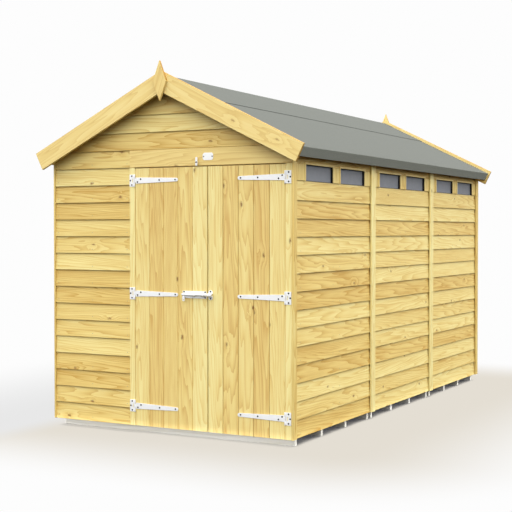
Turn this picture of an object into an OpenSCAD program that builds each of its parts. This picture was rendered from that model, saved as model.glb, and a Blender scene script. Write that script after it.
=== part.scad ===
// Wooden apex garden shed with double doors, high side windows and a felted roof.
// Millimetres. Z is up, the door gable faces -Y, the ground is at z = 0 and the origin is under the middle.

/* [Building] */
// Width over the front frame
house_width = 1796; // [1500:1:2200]
// Height of the side walls above the ground
wall_height = 1858.5; // [1600:0.5:2100]
// Length of one side panel
panel_length = 1203.8; // [900:0.2:1300]
// Side panels in a row
panel_count = 3; // [3:1:5]
// Gap left at the joint between neighbouring pieces
joint_gap = 0.4; // [0.2:0.1:0.8]

/* [Floor] */
// Bearer height
bearer_height = 58; // [55:1:80]
// Bearer thickness
bearer_width = 28; // [20:1:50]
// Distance from a floor section's end to its first bearer
bearer_inset = 22; // [5:1:60]
// Floor board thickness
floor_thickness = 12; // [9:0.5:22]

/* [Cladding] */
// Height of the ground gap under the lowest board
board_clearance = 50; // [40:1:60]
// Height of one lapped board that shows
board_height = 112.5; // [90:0.5:140]
// Depth from the frame to a board's nose
board_depth = 18; // [14:0.5:24]
// Depth of the step back at the top of each board
board_step_depth = 9; // [4:0.5:12]

/* [Wall frame] */
// Stud width seen from inside
stud_width = 45; // [30:1:70]
// Stud depth through the wall
stud_depth = 38; // [28:1:60]
// Width of the double stud where two panels meet
joint_stud_width = 72; // [60:1:110]
// Height of the rails
rail_height = 45; // [30:1:70]

/* [Windows] */
// Height of the board over the windows
window_head_height = 121.5; // [100:0.5:160]
// Height of the glass that shows
window_height = 102; // [80:1:250]
// Width of the board at each end of a panel's windows
pane_margin_width = 136; // [90:1:160]
// Width of the board between the two panes of a panel
pane_post_width = 116; // [90:1:160]
// Glass thickness
glass_thickness = 4; // [3:0.5:6]
// Width of glass hidden behind the edge of its opening
glass_lap_width = 10; // [5:1:15]
// Depth of the boards round the windows
surround_depth = 16; // [12:0.5:18]

/* [Trim] */
// Corner strip width along the side
corner_strip_width = 54; // [45:1:70]
// Corner strip overhang past the gable faces
corner_strip_overhang = 6; // [2:1:12]
// Width of the strips over the panel joints
cover_strip_width = 72; // [50:1:90]
// Strip thickness
strip_thickness = 13; // [9:0.5:18]
// Width of the bevel on the strips' outer edges
strip_bevel_width = 3; // [1:0.5:5]
// Gap between the strips and the roof deck
strip_top_gap = 6; // [2:1:30]

/* [Roof] */
// Roof pitch in degrees
roof_pitch = 26.2; // [20:0.1:30]
// Felt thickness
felt_thickness = 2.5; // [1.5:0.5:4]
// Deck board thickness
deck_thickness = 12; // [9:0.5:18]
// Overhang of the roof past the side walls
eave_overhang = 89; // [70:1:120]
// Height of the felt band round the eave
eave_band_height = 64; // [45:1:75]
// Eave batten thickness
eave_batten_thickness = 25; // [18:1:40]
// Overhang of the roof deck past the gable walls
gable_overhang = 50; // [40:1:90]
// Length of the ridge felt down each slope
ridge_felt_length = 407; // [300:1:500]
// Purlin thickness along the slope
purlin_width = 32; // [20:1:50]
// Purlin depth under the deck
purlin_depth = 45; // [30:1:60]

/* [Barge boards] */
// Barge board width
barge_width = 122; // [90:1:130]
// Barge board thickness
barge_thickness = 19.6; // [14:0.2:28]
// Height of the barge board's top edge over the felt
barge_rise_height = 21; // [10:1:40]
// Length by which a barge board passes the eave
barge_pass_length = 15; // [5:1:40]
// Finial height over the ridge felt
finial_over_height = 86; // [60:1:140]
// Depth of the finial's widest place under the ridge felt
finial_middle_depth = 46; // [20:1:80]
// Depth of the finial's point under the ridge felt
finial_under_depth = 171; // [130:1:220]
// Finial width
finial_width = 100; // [60:1:160]
// Finial thickness
finial_thickness = 18; // [12:1:28]

/* [Doorway] */
// Width of the doorway
doorway_width = 1106; // [900:1:1200]
// Depth of the lintel's lower edge under the wall top
lintel_depth = 120.5; // [110:0.5:200]
// Height of the lintel board
lintel_height = 112; // [90:1:140]
// Width of the left jamb board
left_jamb_width = 40; // [36:1:60]
// Width of the right jamb board
right_jamb_width = 42; // [40:1:60]
// Width by which a stud reaches behind the doors as a stop
stop_width = 10; // [5:1:15]
// Height of the header over the doorway
header_height = 80; // [60:1:110]

/* [Doors] */
// Door board thickness
door_thickness = 12; // [9:0.5:13]
// Gap at the hinge side
door_gap = 5; // [5:0.5:6]
// Gap where the doors meet
meeting_gap = 6; // [6:0.5:10]
// Gap over the doors
door_top_gap = 7; // [6:0.5:12]
// Height of the doors over the cladding's lower edge
door_lift_height = 2; // [0:0.5:10]
// Boards in each door
door_board_count = 5; // [4:1:6]
// Width of the V groove between boards
groove_width = 5; // [3:0.5:8]
// Depth of the V groove
groove_depth = 3.5; // [2:0.5:5]
// Ledge height
ledge_height = 95; // [70:1:120]
// Ledge thickness
ledge_thickness = 22; // [18:1:25]
// Distance from the door edges to the ledges
ledge_inset = 30; // [20:1:50]
// Brace width measured along a ledge
brace_width = 80; // [60:1:110]

/* [Hinges] */
// Distance from the door's lower edge to the lowest hinge
hinge_bottom_inset = 128; // [90:1:160]
// Distance from the door's upper edge to the top hinge
hinge_top_inset = 78; // [70:1:120]
// Distance of the hinge pins in front of the door face
pin_distance = 5.2; // [5:0.1:7]
// Knuckle radius
knuckle_radius = 4.5; // [4:0.1:4.6]
// Hinge pin radius
pin_radius = 2.2; // [1.5:0.1:2.8]
// Gap round the hinge pin
pin_gap = 0.4; // [0.2:0.1:0.6]
// Height of the strap's own knuckle
strap_knuckle_height = 25; // [18:0.5:32]
// Gap between knuckles
knuckle_gap = 1; // [0.5:0.1:2]
// Sheet metal thickness
sheet_thickness = 2.5; // [1.5:0.1:3]
// Height of a hinge plate
plate_height = 79; // [60:1:100]
// Distance from a pin to the flat of its plate or strap
flat_distance = 6.5; // [6:0.1:9]
// Width of the plate's flat
plate_width = 34; // [26:0.5:34]
// Width of the slot in a plate
plate_slot_width = 6; // [4:0.5:9]
// Height of the slot in a plate
plate_slot_height = 25; // [15:1:30]
// Distance from the plate's inner edge to its slot
plate_slot_inset = 7; // [5:0.5:9]
// Gap between a strap's tip and the bolt plate
strap_tip_gap = 35.5; // [10:0.5:80]
// Height of a strap at the root
strap_root_height = 40; // [30:1:52]
// Height of a strap at the tip
strap_tip_height = 23; // [16:1:28]

/* [Pad bolt] */
// Height of the bolt over the ground
bolt_height = 920; // [860:1:980]
// Distance from the meeting edge to the bolt plate
bolt_plate_inset = 4; // [3:0.5:8]
// Bolt plate length
bolt_plate_length = 176; // [160:1:200]
// Bolt plate height
bolt_plate_height = 46; // [40:1:60]
// Bolt bar radius
bolt_radius = 6; // [5:0.5:7]
// Gap round the bolt bar in its guides
bolt_gap = 0.6; // [0.3:0.1:1]
// Distance of the bolt bar's axis in front of the door face
bolt_distance = 14; // [13.5:0.5:18]
// Bolt bar length
bolt_length = 178; // [165:1:200]
// Distance from the meeting edge to the bar's end while drawn back
bolt_tip_inset = 2; // [1:0.5:8]
// Length of the bar's tapered end
bolt_taper_length = 4; // [2:0.5:6]
// Guide wall thickness
guide_thickness = 4; // [3:0.5:6]
// Guide length along the bar
guide_length = 16; // [12:1:20]
// Distance from the plate's right end to the first guide
first_guide_distance = 100; // [95:1:104]
// Distance from the plate's right end to the second guide
second_guide_distance = 32; // [24:1:40]
// Distance from the bar's end to the middle of its lock lug
lug_distance = 165; // [160:1:166]
// Lug width
lug_width = 18; // [16:1:22]
// Lug thickness
lug_thickness = 4; // [3:0.5:5]
// Depth of the padlock hole under the bar
lug_depth = 34; // [32:1:40]
// Radius of the padlock hole
lug_hole_radius = 4.5; // [4:0.5:5.5]
// Distance from the right door's edge to the keep
keep_inset = 4; // [3:0.5:8]
// Keep width
keep_width = 32; // [26:1:40]
// Keep height
keep_height = 62; // [56:1:75]
// Gap round the bolt bar in the keep
keep_gap = 1.5; // [1:0.1:2]
// Width of the bevel inside the keep
keep_bevel_width = 3; // [2:0.5:4]

/* [Turn button] */
// Distance of the button from the meeting line of the doors
button_distance = 74; // [40:1:120]
// Length of the button's long arm
button_long_length = 33; // [30:0.5:40]
// Length of the button's short arm
button_short_length = 22; // [14:0.5:24]
// Gap between the short arm and the door
button_gap = 5.5; // [5:0.5:7]
// Button width
button_width = 13; // [10:0.5:16]
// Button thickness
button_thickness = 9; // [5:0.5:14]
// Thickness of the spacer under the button
button_spacer_thickness = 6; // [6:0.5:8]
// Spacer radius
button_spacer_radius = 6; // [4:0.5:6.5]

/* [Hidden] */
$fn = 48;
quarter_turn = 90;
half_share = 0.5;
third_share = 1 / 3;
half_width = house_width * half_share;
wall_depth = board_depth + stud_depth;
// The front gable stands across the ends of the side walls, the back gable between them.
wall_length = panel_count * panel_length + wall_depth + joint_gap;
front_y = -wall_length * half_share;
back_y = wall_length * half_share;
side_start = front_y + wall_depth + joint_gap;
side_end = back_y;
inner_end = back_y - wall_depth - joint_gap;
frame_outer = half_width - board_depth - joint_gap;
frame_inner = frame_outer - stud_depth;
inner_half = frame_inner - joint_gap;
front_frame_y = front_y + board_depth + joint_gap;
front_frame_back = front_y + wall_depth;
floor_low = bearer_height + joint_gap;
floor_top = floor_low + floor_thickness;
frame_low = floor_top + joint_gap;
rail_top = frame_low + rail_height;
section_bearers = 4;

// Depths under the ridge felt's face, at right angles to the slope.
rise_share = tan(roof_pitch);
drop_share = 1 / cos(roof_pitch);
felt_top = felt_thickness + joint_gap;
felt_low = felt_top + felt_thickness;
deck_top = felt_low + joint_gap;
deck_low = deck_top + deck_thickness;
bars_top = deck_low + joint_gap;
bars_low = bars_top + purlin_depth;
band_low = felt_top + eave_band_height;
ridge_top = wall_height + 2 * joint_gap + deck_low * drop_share + rise_share * half_width;
ridge_half = joint_gap * half_share;

// Places down the slope, from the ridge.
slope_length = (half_width + eave_overhang) * drop_share;
felt_edge = slope_length - felt_thickness;
deck_edge = felt_edge - joint_gap;
batten_start = deck_edge - eave_batten_thickness;
ridge_purlin_start = bars_low * rise_share + purlin_width * half_share;
middle_purlin_share = 0.52;
middle_purlin_start = slope_length * middle_purlin_share;
barge_length = slope_length + barge_pass_length;
deck_front = front_y - gable_overhang;
deck_back = back_y + gable_overhang;
barge_face = deck_front - joint_gap - barge_thickness;
finial_back = barge_face - joint_gap;
finial_half = finial_width * half_share;

window_high = wall_height - window_head_height;
window_low = window_high - window_height;
pane_width = (panel_length - pane_post_width) * half_share - pane_margin_width;
window_rail_high = window_low - glass_lap_width - 2 * joint_gap;
top_rail_low = window_high + glass_lap_width + 2 * joint_gap;
surround_outer = frame_outer + joint_gap + surround_depth;
strip_outer = half_width + joint_gap + strip_thickness;
strip_top = roof_z(strip_outer, deck_low) - strip_top_gap;

lintel_low = wall_height - lintel_depth;
lintel_high = lintel_low + lintel_height;
gable_apex = roof_z(0, deck_low) - 2 * joint_gap;
door_high = lintel_low - door_top_gap;
door_low = board_clearance + door_lift_height;
header_low = door_high - door_gap;
header_high = header_low + header_height;
door_right = half_width - right_jamb_width;
door_left = door_right - doorway_width;
left_jamb = door_left - left_jamb_width;
door_middle = (door_left + door_right) * half_share;
left_door_start = door_left + door_gap;
left_door_end = door_middle - meeting_gap * half_share;
right_door_start = door_middle + meeting_gap * half_share;
right_door_end = door_right - door_gap;
ledge_y = front_y + door_thickness + joint_gap;

hinge_low = door_low + hinge_bottom_inset;
hinge_high = door_high - hinge_top_inset;
hinge_heights = [hinge_low, (hinge_low + hinge_high) * half_share, hinge_high];
sheet_back = front_y - joint_gap;
sheet_front = sheet_back - sheet_thickness;
left_axis = door_left + door_gap * half_share;
right_axis = door_right - door_gap * half_share;
axis_y = front_y - pin_distance;
flat_high = pin_distance - joint_gap;
flat_low = flat_high - sheet_thickness;
plate_edge = flat_distance + plate_width;
plate_half = plate_height * half_share;
strap_knuckle_half = strap_knuckle_height * half_share;
strap_root_half = strap_root_height * half_share;
strap_tip_half = strap_tip_height * half_share;

bolt_y = front_y - bolt_distance;
bolt_tip = left_door_end - bolt_tip_inset;
bolt_left = bolt_tip - bolt_length;
bolt_plate_right = left_door_end - bolt_plate_inset;
bolt_plate_left = bolt_plate_right - bolt_plate_length;
strap_length = bolt_plate_left - strap_tip_gap - left_axis;
first_guide = bolt_plate_right - first_guide_distance;
second_guide = bolt_plate_right - second_guide_distance;
guide_radius = bolt_radius + bolt_gap + guide_thickness;
lug_x = bolt_tip - lug_distance;
taper_share = 0.6;
keep_left = right_door_start + keep_inset;
button_x = door_middle - button_distance;
button_z = door_high + button_gap + button_short_length;
button_back = front_y - joint_gap - button_spacer_thickness;

// Height of the plane that lies a given depth under the ridge felt, at a distance from the middle.
function roof_z(x, depth) = ridge_top - depth * drop_share - rise_share * x;

// A point on the right roof slope: down the slope and up from the ridge felt's face.
function slope_point(down, up) = [
    down * cos(roof_pitch) + up * sin(roof_pitch),
    ridge_top - down * sin(roof_pitch) + up * cos(roof_pitch)
];

// Boards that fill a height; the topmost one takes what is left over.
function boards_between(low, top) = round((top - low) / board_height);

// Lapped boards seen end on: out from the frame face, and height.
function lap_points(low, top, count) = concat(
    [[0, low]],
    [for (k = [0 : count - 1]) each [
        [board_depth, low + k * board_height],
        [board_depth - board_step_depth, k == count - 1 ? top : low + (k + 1) * board_height]
    ]],
    [[0, top]]
);

module block(x0, x1, y0, y1, z0, z1) {
    translate([x0, y0, z0])
        cube([x1 - x0, y1 - y0, z1 - z0]);
}

// A shape drawn in x and z, run along y.
module along_y(points, y0, y1) {
    translate([0, y1, 0])
        rotate([quarter_turn, 0, 0])
            linear_extrude(height = y1 - y0)
                polygon(points);
}

// A shape drawn in y and z, run along x.
module along_x(points, x0, x1) {
    translate([x0, 0, 0])
        rotate([quarter_turn, 0, quarter_turn])
            linear_extrude(height = x1 - x0)
                polygon(points);
}

module rod_x(radius, x0, x1, y, z) {
    translate([x0, y, z])
        rotate([0, quarter_turn, 0])
            cylinder(r = radius, h = x1 - x0);
}

module rod_y(radius, y0, y1, x, z) {
    translate([x, y1, z])
        rotate([quarter_turn, 0, 0])
            cylinder(r = radius, h = y1 - y0);
}

module mirrored_x() {
    mirror([1, 0, 0])
        children();
}

module mirrored_y() {
    mirror([0, 1, 0])
        children();
}

module floor_bearers() {
    color("Wheat")
        for (s = [0 : panel_count - 1]) {
            y0 = side_start + s * panel_length;
            y1 = min(y0 + panel_length, inner_end);
            step = (y1 - y0 - 2 * bearer_inset - bearer_width) / (section_bearers - 1);
            for (k = [0 : section_bearers - 1]) {
                y = y0 + bearer_inset + k * step;
                block(-frame_outer, frame_outer, y, y + bearer_width, 0, bearer_height);
            }
        }
}

module floor_run(first, last) {
    y0 = side_start + first * panel_length;
    y1 = min(side_start + last * panel_length, inner_end) - joint_gap;
    color("BurlyWood")
        block(-frame_outer, frame_outer, y0, y1, floor_low, floor_top);
}

module floor_front() {
    floor_run(0, 1);
}

module floor_middle() {
    floor_run(1, panel_count - 1);
}

module floor_back() {
    floor_run(panel_count - 1, panel_count);
}

// Rafter pair and king post of a gable, drawn for the front and mirrored for the back.
module gable_bars(reach) {
    right = [
        [ridge_half, roof_z(ridge_half, bars_top)],
        [reach, roof_z(reach, bars_top)],
        [reach, roof_z(reach, bars_low)],
        [ridge_half, roof_z(ridge_half, bars_low)]
    ];
    along_y(right, front_frame_y, front_frame_back);
    mirrored_x()
        along_y(right, front_frame_y, front_frame_back);
    post_half = stud_width * half_share;
    post = [
        [-post_half, header_high + joint_gap],
        [post_half, header_high + joint_gap],
        [post_half, roof_z(post_half, bars_low + joint_gap)],
        [0, roof_z(0, bars_low + joint_gap)],
        [-post_half, roof_z(post_half, bars_low + joint_gap)]
    ];
    along_y(post, front_frame_y, front_frame_back);
}

module wall_post(x0, x1) {
    block(x0, x1, front_frame_y, front_frame_back, board_clearance, header_low - joint_gap);
}

// Bottom rail between two posts.
module wall_rail(x0, x1) {
    block(
        x0 + joint_gap, x1 - joint_gap, front_frame_y, front_frame_back,
        board_clearance, board_clearance + rail_height
    );
}

module front_frame() {
    corner = -half_width + stud_width;
    middle = (corner + left_jamb) * half_share;
    half = stud_width * half_share;
    color("Tan") {
        gable_bars(frame_outer);
        block(-half_width, half_width, front_frame_y, front_frame_back, header_low, header_high);
        wall_post(-half_width, corner);
        wall_rail(corner, middle - half);
        wall_post(middle - half, middle + half);
        wall_rail(middle + half, left_jamb);
        wall_post(left_jamb, door_left + stop_width);
        wall_post(door_right - stop_width, half_width);
    }
}

module back_frame() {
    corner = inner_half - stud_width;
    third = corner * third_share;
    half = stud_width * half_share;
    color("Tan")
        mirrored_y() {
            gable_bars(inner_half);
            block(-inner_half, inner_half, front_frame_y, front_frame_back, header_low, header_high);
            wall_post(-inner_half, -corner);
            wall_rail(-corner, -third - half);
            wall_post(-third - half, -third + half);
            wall_rail(-third + half, third - half);
            wall_post(third - half, third + half);
            wall_rail(third + half, corner);
            wall_post(corner, inner_half);
        }
}

// Studs, bottom rail and bevelled wall plate of one long side.
module side_bars() {
    plate = [
        [frame_inner, top_rail_low],
        [frame_outer, top_rail_low],
        [frame_outer, roof_z(frame_outer, bars_top)],
        [frame_inner, roof_z(frame_inner, bars_top)]
    ];
    along_y(plate, side_start, side_end);
    block(frame_inner, frame_outer, side_start, side_end, frame_low, rail_top);
    for (s = [0 : panel_count - 1]) {
        center = side_start + (s + half_share) * panel_length;
        side_stud(center - stud_width * half_share, center + stud_width * half_share);
    }
    for (s = [1 : panel_count - 1]) {
        joint = side_start + s * panel_length;
        side_stud(joint - joint_stud_width * half_share, joint + joint_stud_width * half_share);
    }
    side_stud(side_start, side_start + stud_width);
    side_stud(side_end - stud_width, side_end);
}

module side_stud(y0, y1) {
    block(frame_inner, frame_outer, y0, y1, rail_top + joint_gap, top_rail_low - joint_gap);
}

module left_frame() {
    color("Tan")
        mirrored_x()
            side_bars();
}

module sill_rail(y0, y1) {
    low = window_rail_high - rail_height;
    block(frame_inner, frame_outer, y0 + joint_gap, y1 - joint_gap, low, window_rail_high);
}

module right_frame() {
    color("Tan") {
        side_bars();
        for (s = [0 : panel_count - 1]) {
            y0 = side_start + s * panel_length;
            center = y0 + panel_length * half_share;
            y1 = y0 + panel_length;
            near = s == 0 ? stud_width : joint_stud_width * half_share;
            far = s == panel_count - 1 ? stud_width : joint_stud_width * half_share;
            sill_rail(y0 + near, center - stud_width * half_share);
            sill_rail(center + stud_width * half_share, y1 - far);
        }
    }
}

// One panel of lapped boards on the right side.
module side_boards(s, top) {
    y0 = side_start + s * panel_length;
    laps = lap_points(board_clearance, top, boards_between(board_clearance, top));
    points = [for (p = laps) [half_width - board_depth + p[0], p[1]]];
    along_y(points, y0, y0 + panel_length - joint_gap);
}

module right_cladding() {
    color("Khaki")
        for (s = [0 : panel_count - 1])
            side_boards(s, window_low);
}

module left_cladding() {
    color("Khaki")
        mirrored_x()
            for (s = [0 : panel_count - 1])
                side_boards(s, wall_height);
}

// Outline of a gable wall under the roof deck.
module gable_outline(low) {
    outline = [
        [-half_width, low],
        [half_width, low],
        [half_width, wall_height],
        [0, gable_apex],
        [-half_width, wall_height]
    ];
    along_y(outline, front_y - board_depth, front_y + 2 * board_depth);
}

// Lapped boards of a gable wall, counted up to one height and cut off at another.
module front_boards(low, full, top, x0, x1) {
    laps = lap_points(low, top, boards_between(low, full));
    points = [for (p = laps) [front_y + board_depth - p[0], p[1]]];
    along_x(points, x0, x1);
}

module back_cladding() {
    color("Khaki")
        mirrored_y()
            intersection() {
                front_boards(board_clearance, gable_apex, ridge_top, -inner_half, inner_half);
                gable_outline(board_clearance);
            }
}

module front_left_cladding() {
    edge = left_jamb - joint_gap;
    color("Khaki")
        front_boards(board_clearance, lintel_high, lintel_high, -half_width, edge);
}

module front_gable_cladding() {
    low = lintel_high + joint_gap;
    color("Khaki")
        intersection() {
            front_boards(low, gable_apex, ridge_top, -half_width, half_width);
            gable_outline(low);
        }
}

// Upright filler boards beside and between the panes.
module window_post(y0, y1) {
    block(frame_outer + joint_gap, surround_outer, y0, y1, window_low + joint_gap, window_high - joint_gap);
}

module window_posts() {
    color("Khaki")
        for (s = [0 : panel_count - 1]) {
            y0 = side_start + s * panel_length;
            y1 = y0 + panel_length - joint_gap;
            first = y0 + pane_margin_width;
            second = first + pane_width + pane_post_width;
            window_post(y0, first);
            window_post(first + pane_width, second);
            window_post(second + pane_width, y1);
        }
}

module window_heads() {
    color("Khaki")
        for (s = [0 : panel_count - 1]) {
            y0 = side_start + s * panel_length;
            y1 = y0 + panel_length - joint_gap;
            block(frame_outer + joint_gap, surround_outer, y0, y1, window_high, wall_height);
        }
}

module pane(y0) {
    block(
        frame_outer - glass_thickness, frame_outer, y0 - glass_lap_width, y0 + pane_width + glass_lap_width,
        window_low - glass_lap_width, window_high + glass_lap_width
    );
}

module window_glass() {
    color("LightSteelBlue")
        for (s = [0 : panel_count - 1]) {
            first = side_start + s * panel_length + pane_margin_width;
            pane(first);
            pane(first + pane_width + pane_post_width);
        }
}

module door_lintel() {
    color("Goldenrod")
        block(left_jamb, half_width, front_y, front_y + board_depth, lintel_low, lintel_high);
}

module door_jambs() {
    top = lintel_low - joint_gap;
    color("Goldenrod") {
        block(left_jamb, door_left, front_y, front_y + board_depth, board_clearance, top);
        block(door_right, half_width, front_y, front_y + board_depth, board_clearance, top);
    }
}

// Upright strip on the right side with its two outer edges bevelled.
module side_strip(y0, y1) {
    x0 = half_width + joint_gap;
    points = [
        [x0, y0],
        [strip_outer - strip_bevel_width, y0],
        [strip_outer, y0 + strip_bevel_width],
        [strip_outer, y1 - strip_bevel_width],
        [strip_outer - strip_bevel_width, y1],
        [x0, y1]
    ];
    translate([0, 0, board_clearance])
        linear_extrude(height = strip_top - board_clearance)
            polygon(points);
}

module right_corner_strips() {
    edge = front_y - corner_strip_overhang;
    side_strip(edge, edge + corner_strip_width);
    side_strip(-edge - corner_strip_width, -edge);
}

module corner_strips() {
    color("Goldenrod") {
        right_corner_strips();
        mirrored_x()
            right_corner_strips();
    }
}

module right_cover_strips() {
    for (s = [1 : panel_count - 1]) {
        joint = side_start + s * panel_length;
        side_strip(joint - cover_strip_width * half_share, joint + cover_strip_width * half_share);
    }
}

module cover_strips() {
    color("Goldenrod") {
        right_cover_strips();
        mirrored_x()
            right_cover_strips();
    }
}

// A slab on the right slope between two depths, from the ridge to a place down the slope.
module slope_slab(top, low, reach, y0, y1) {
    points = [
        [ridge_half, roof_z(ridge_half, top)],
        slope_point(reach, -top),
        slope_point(reach, -low),
        [ridge_half, roof_z(ridge_half, low)]
    ];
    along_y(points, y0, y1);
}

module roof_deck_right() {
    color("Peru")
        slope_slab(deck_top, deck_low, deck_edge, deck_front, deck_back);
}

module roof_deck_left() {
    mirrored_x()
        roof_deck_right();
}

module slope_bar(start, width, top, low, y0, y1) {
    points = [
        slope_point(start, -top),
        slope_point(start + width, -top),
        slope_point(start + width, -low),
        slope_point(start, -low)
    ];
    along_y(points, y0, y1);
}

module roof_bars_right() {
    color("Tan") {
        slope_bar(ridge_purlin_start, purlin_width, bars_top, bars_low, side_start, inner_end);
        slope_bar(middle_purlin_start, purlin_width, bars_top, bars_low, side_start, inner_end);
        slope_bar(batten_start, eave_batten_thickness, bars_top, band_low, deck_front, deck_back);
    }
}

module roof_bars_left() {
    mirrored_x()
        roof_bars_right();
}

module felt_right() {
    points = [
        [ridge_half, roof_z(ridge_half, felt_top)],
        slope_point(slope_length, -felt_top),
        slope_point(slope_length, -band_low),
        slope_point(felt_edge, -band_low),
        slope_point(felt_edge, -felt_low),
        [ridge_half, roof_z(ridge_half, felt_low)]
    ];
    color("DimGray")
        along_y(points, deck_front, deck_back);
}

module felt_left() {
    mirrored_x()
        felt_right();
}

module felt_ridge() {
    right_low = slope_point(ridge_felt_length, -felt_thickness);
    right_high = slope_point(ridge_felt_length, 0);
    points = [
        [0, roof_z(0, 0)],
        right_high,
        right_low,
        [0, roof_z(0, felt_thickness)],
        [-right_low[0], right_low[1]],
        [-right_high[0], right_high[1]]
    ];
    color("Gray")
        along_y(points, deck_front, deck_back);
}

module front_barge_right() {
    low = barge_width - barge_rise_height;
    points = [
        [ridge_half, roof_z(ridge_half, -barge_rise_height)],
        slope_point(barge_length, barge_rise_height),
        slope_point(barge_length, -low),
        [ridge_half, roof_z(ridge_half, low)]
    ];
    color("Gold")
        along_y(points, barge_face, barge_face + barge_thickness);
}

module front_barge_left() {
    mirrored_x()
        front_barge_right();
}

module back_barge_right() {
    mirrored_y()
        front_barge_right();
}

module back_barge_left() {
    mirrored_y()
        front_barge_left();
}

module front_finial() {
    points = [
        [0, ridge_top - finial_under_depth],
        [finial_half, ridge_top - finial_middle_depth],
        [0, ridge_top + finial_over_height],
        [-finial_half, ridge_top - finial_middle_depth]
    ];
    color("Gold")
        along_y(points, finial_back - finial_thickness, finial_back);
}

module back_finial() {
    mirrored_y()
        front_finial();
}

// Boards of one door seen from above, with a V groove at every joint.
module door_leaf(x0, x1) {
    board = (x1 - x0) / door_board_count;
    grooves = [for (k = [1 : door_board_count - 1]) each [
        [x0 + k * board - groove_width * half_share, front_y],
        [x0 + k * board, front_y + groove_depth],
        [x0 + k * board + groove_width * half_share, front_y]
    ]];
    points = concat(
        [[x0, front_y]],
        grooves,
        [[x1, front_y], [x1, front_y + door_thickness], [x0, front_y + door_thickness]]
    );
    color("Khaki")
        translate([0, 0, door_low])
            linear_extrude(height = door_high - door_low)
                polygon(points);
}

module left_door_boards() {
    door_leaf(left_door_start, left_door_end);
}

module right_door_boards() {
    door_leaf(right_door_start, right_door_end);
}

// Three ledges and two braces, hinge side first, free side second.
module door_bracing(hinge_x, free_x) {
    toward = free_x > hinge_x ? 1 : -1;
    inner = hinge_x + toward * ledge_inset;
    outer = free_x - toward * ledge_inset;
    y1 = ledge_y + ledge_thickness;
    color("Tan") {
        for (z = hinge_heights)
            block(
                min(inner, outer), max(inner, outer), ledge_y, y1,
                z - ledge_height * half_share, z + ledge_height * half_share
            );
        for (k = [0 : 1]) {
            low = hinge_heights[k] + ledge_height * half_share + joint_gap;
            high = hinge_heights[k + 1] - ledge_height * half_share - joint_gap;
            points = [
                [inner, low],
                [inner + toward * brace_width, low],
                [outer, high],
                [outer - toward * brace_width, high]
            ];
            along_y(points, ledge_y, y1);
        }
    }
}

module left_door_bracing() {
    door_bracing(left_door_start, left_door_end);
}

module right_door_bracing() {
    door_bracing(right_door_end, right_door_start);
}

// Fixed half of a hinge about its own pin: slotted plate toward -x, two knuckles and the pin.
module hinge_plate() {
    gap_low = strap_knuckle_half + knuckle_gap;
    slot_edge = flat_distance + plate_slot_inset;
    slot_half = plate_slot_height * half_share;
    difference() {
        block(-plate_edge, -flat_distance, flat_low, flat_high, -plate_half, plate_half);
        block(
            -slot_edge - plate_slot_width, -slot_edge,
            flat_low - sheet_thickness, flat_high + sheet_thickness, -slot_half, slot_half
        );
    }
    for (side = [0 : 1])
        mirror([0, 0, side]) {
            block(-flat_distance, 0, flat_low, flat_high, gap_low, plate_half);
            translate([0, 0, gap_low])
                cylinder(r = knuckle_radius, h = plate_half - gap_low);
        }
    translate([0, 0, -plate_half])
        cylinder(r = pin_radius, h = plate_height);
}

// Moving half of a hinge about its own pin: bored knuckle and a strap tapering toward +x.
module hinge_strap() {
    tip = strap_length - strap_tip_half;
    points = [
        [flat_distance, -strap_root_half],
        [tip, -strap_tip_half],
        [tip, strap_tip_half],
        [flat_distance, strap_root_half]
    ];
    difference() {
        union() {
            along_y(points, flat_low, flat_high);
            rod_y(strap_tip_half, flat_low, flat_high, tip, 0);
            block(0, flat_distance, flat_low, flat_high, -strap_knuckle_half, strap_knuckle_half);
            translate([0, 0, -strap_knuckle_half])
                cylinder(r = knuckle_radius, h = strap_knuckle_height);
        }
        translate([0, 0, -plate_half])
            cylinder(r = pin_radius + pin_gap, h = plate_height);
    }
}

module left_hinge_plates() {
    color("Silver")
        for (z = hinge_heights)
            translate([left_axis, axis_y, z])
                hinge_plate();
}

module right_hinge_plates() {
    color("Silver")
        for (z = hinge_heights)
            translate([right_axis, axis_y, z])
                mirrored_x()
                    hinge_plate();
}

module left_hinge_straps() {
    color("Silver")
        for (z = hinge_heights)
            translate([left_axis, axis_y, z])
                hinge_strap();
}

module right_hinge_straps() {
    color("Silver")
        for (z = hinge_heights)
            translate([right_axis, axis_y, z])
                mirrored_x()
                    hinge_strap();
}

// Round-backed guide for the bolt bar, standing off its plate.
module bolt_guide(x0) {
    x1 = x0 + guide_length;
    block(x0, x1, bolt_y, sheet_back, bolt_height - guide_radius, bolt_height + guide_radius);
    rod_x(guide_radius, x0, x1, bolt_y, bolt_height);
}

module bolt_plate() {
    half = bolt_plate_height * half_share;
    color("Silver")
        difference() {
            union() {
                block(
                    bolt_plate_left, bolt_plate_right, sheet_front, sheet_back,
                    bolt_height - half, bolt_height + half
                );
                bolt_guide(first_guide);
                bolt_guide(second_guide);
            }
            rod_x(bolt_radius + bolt_gap, bolt_plate_left, bolt_plate_right, bolt_y, bolt_height);
        }
}

module bolt_bar() {
    lug_z = bolt_height - lug_depth;
    lug_half = lug_width * half_share;
    lug_back = bolt_y + lug_thickness * half_share;
    lug_front = bolt_y - lug_thickness * half_share;
    taper = bolt_tip - bolt_taper_length;
    color("Silver")
        difference() {
            union() {
                rod_x(bolt_radius, bolt_left, taper, bolt_y, bolt_height);
                translate([taper, bolt_y, bolt_height])
                    rotate([0, quarter_turn, 0])
                        cylinder(r1 = bolt_radius, r2 = bolt_radius * taper_share, h = bolt_taper_length);
                block(lug_x - lug_half, lug_x + lug_half, lug_front, lug_back, lug_z, bolt_height);
                rod_y(lug_half, lug_front, lug_back, lug_x, lug_z);
            }
            rod_y(lug_hole_radius, lug_front - lug_thickness, lug_back + lug_thickness, lug_x, lug_z);
        }
}

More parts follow.
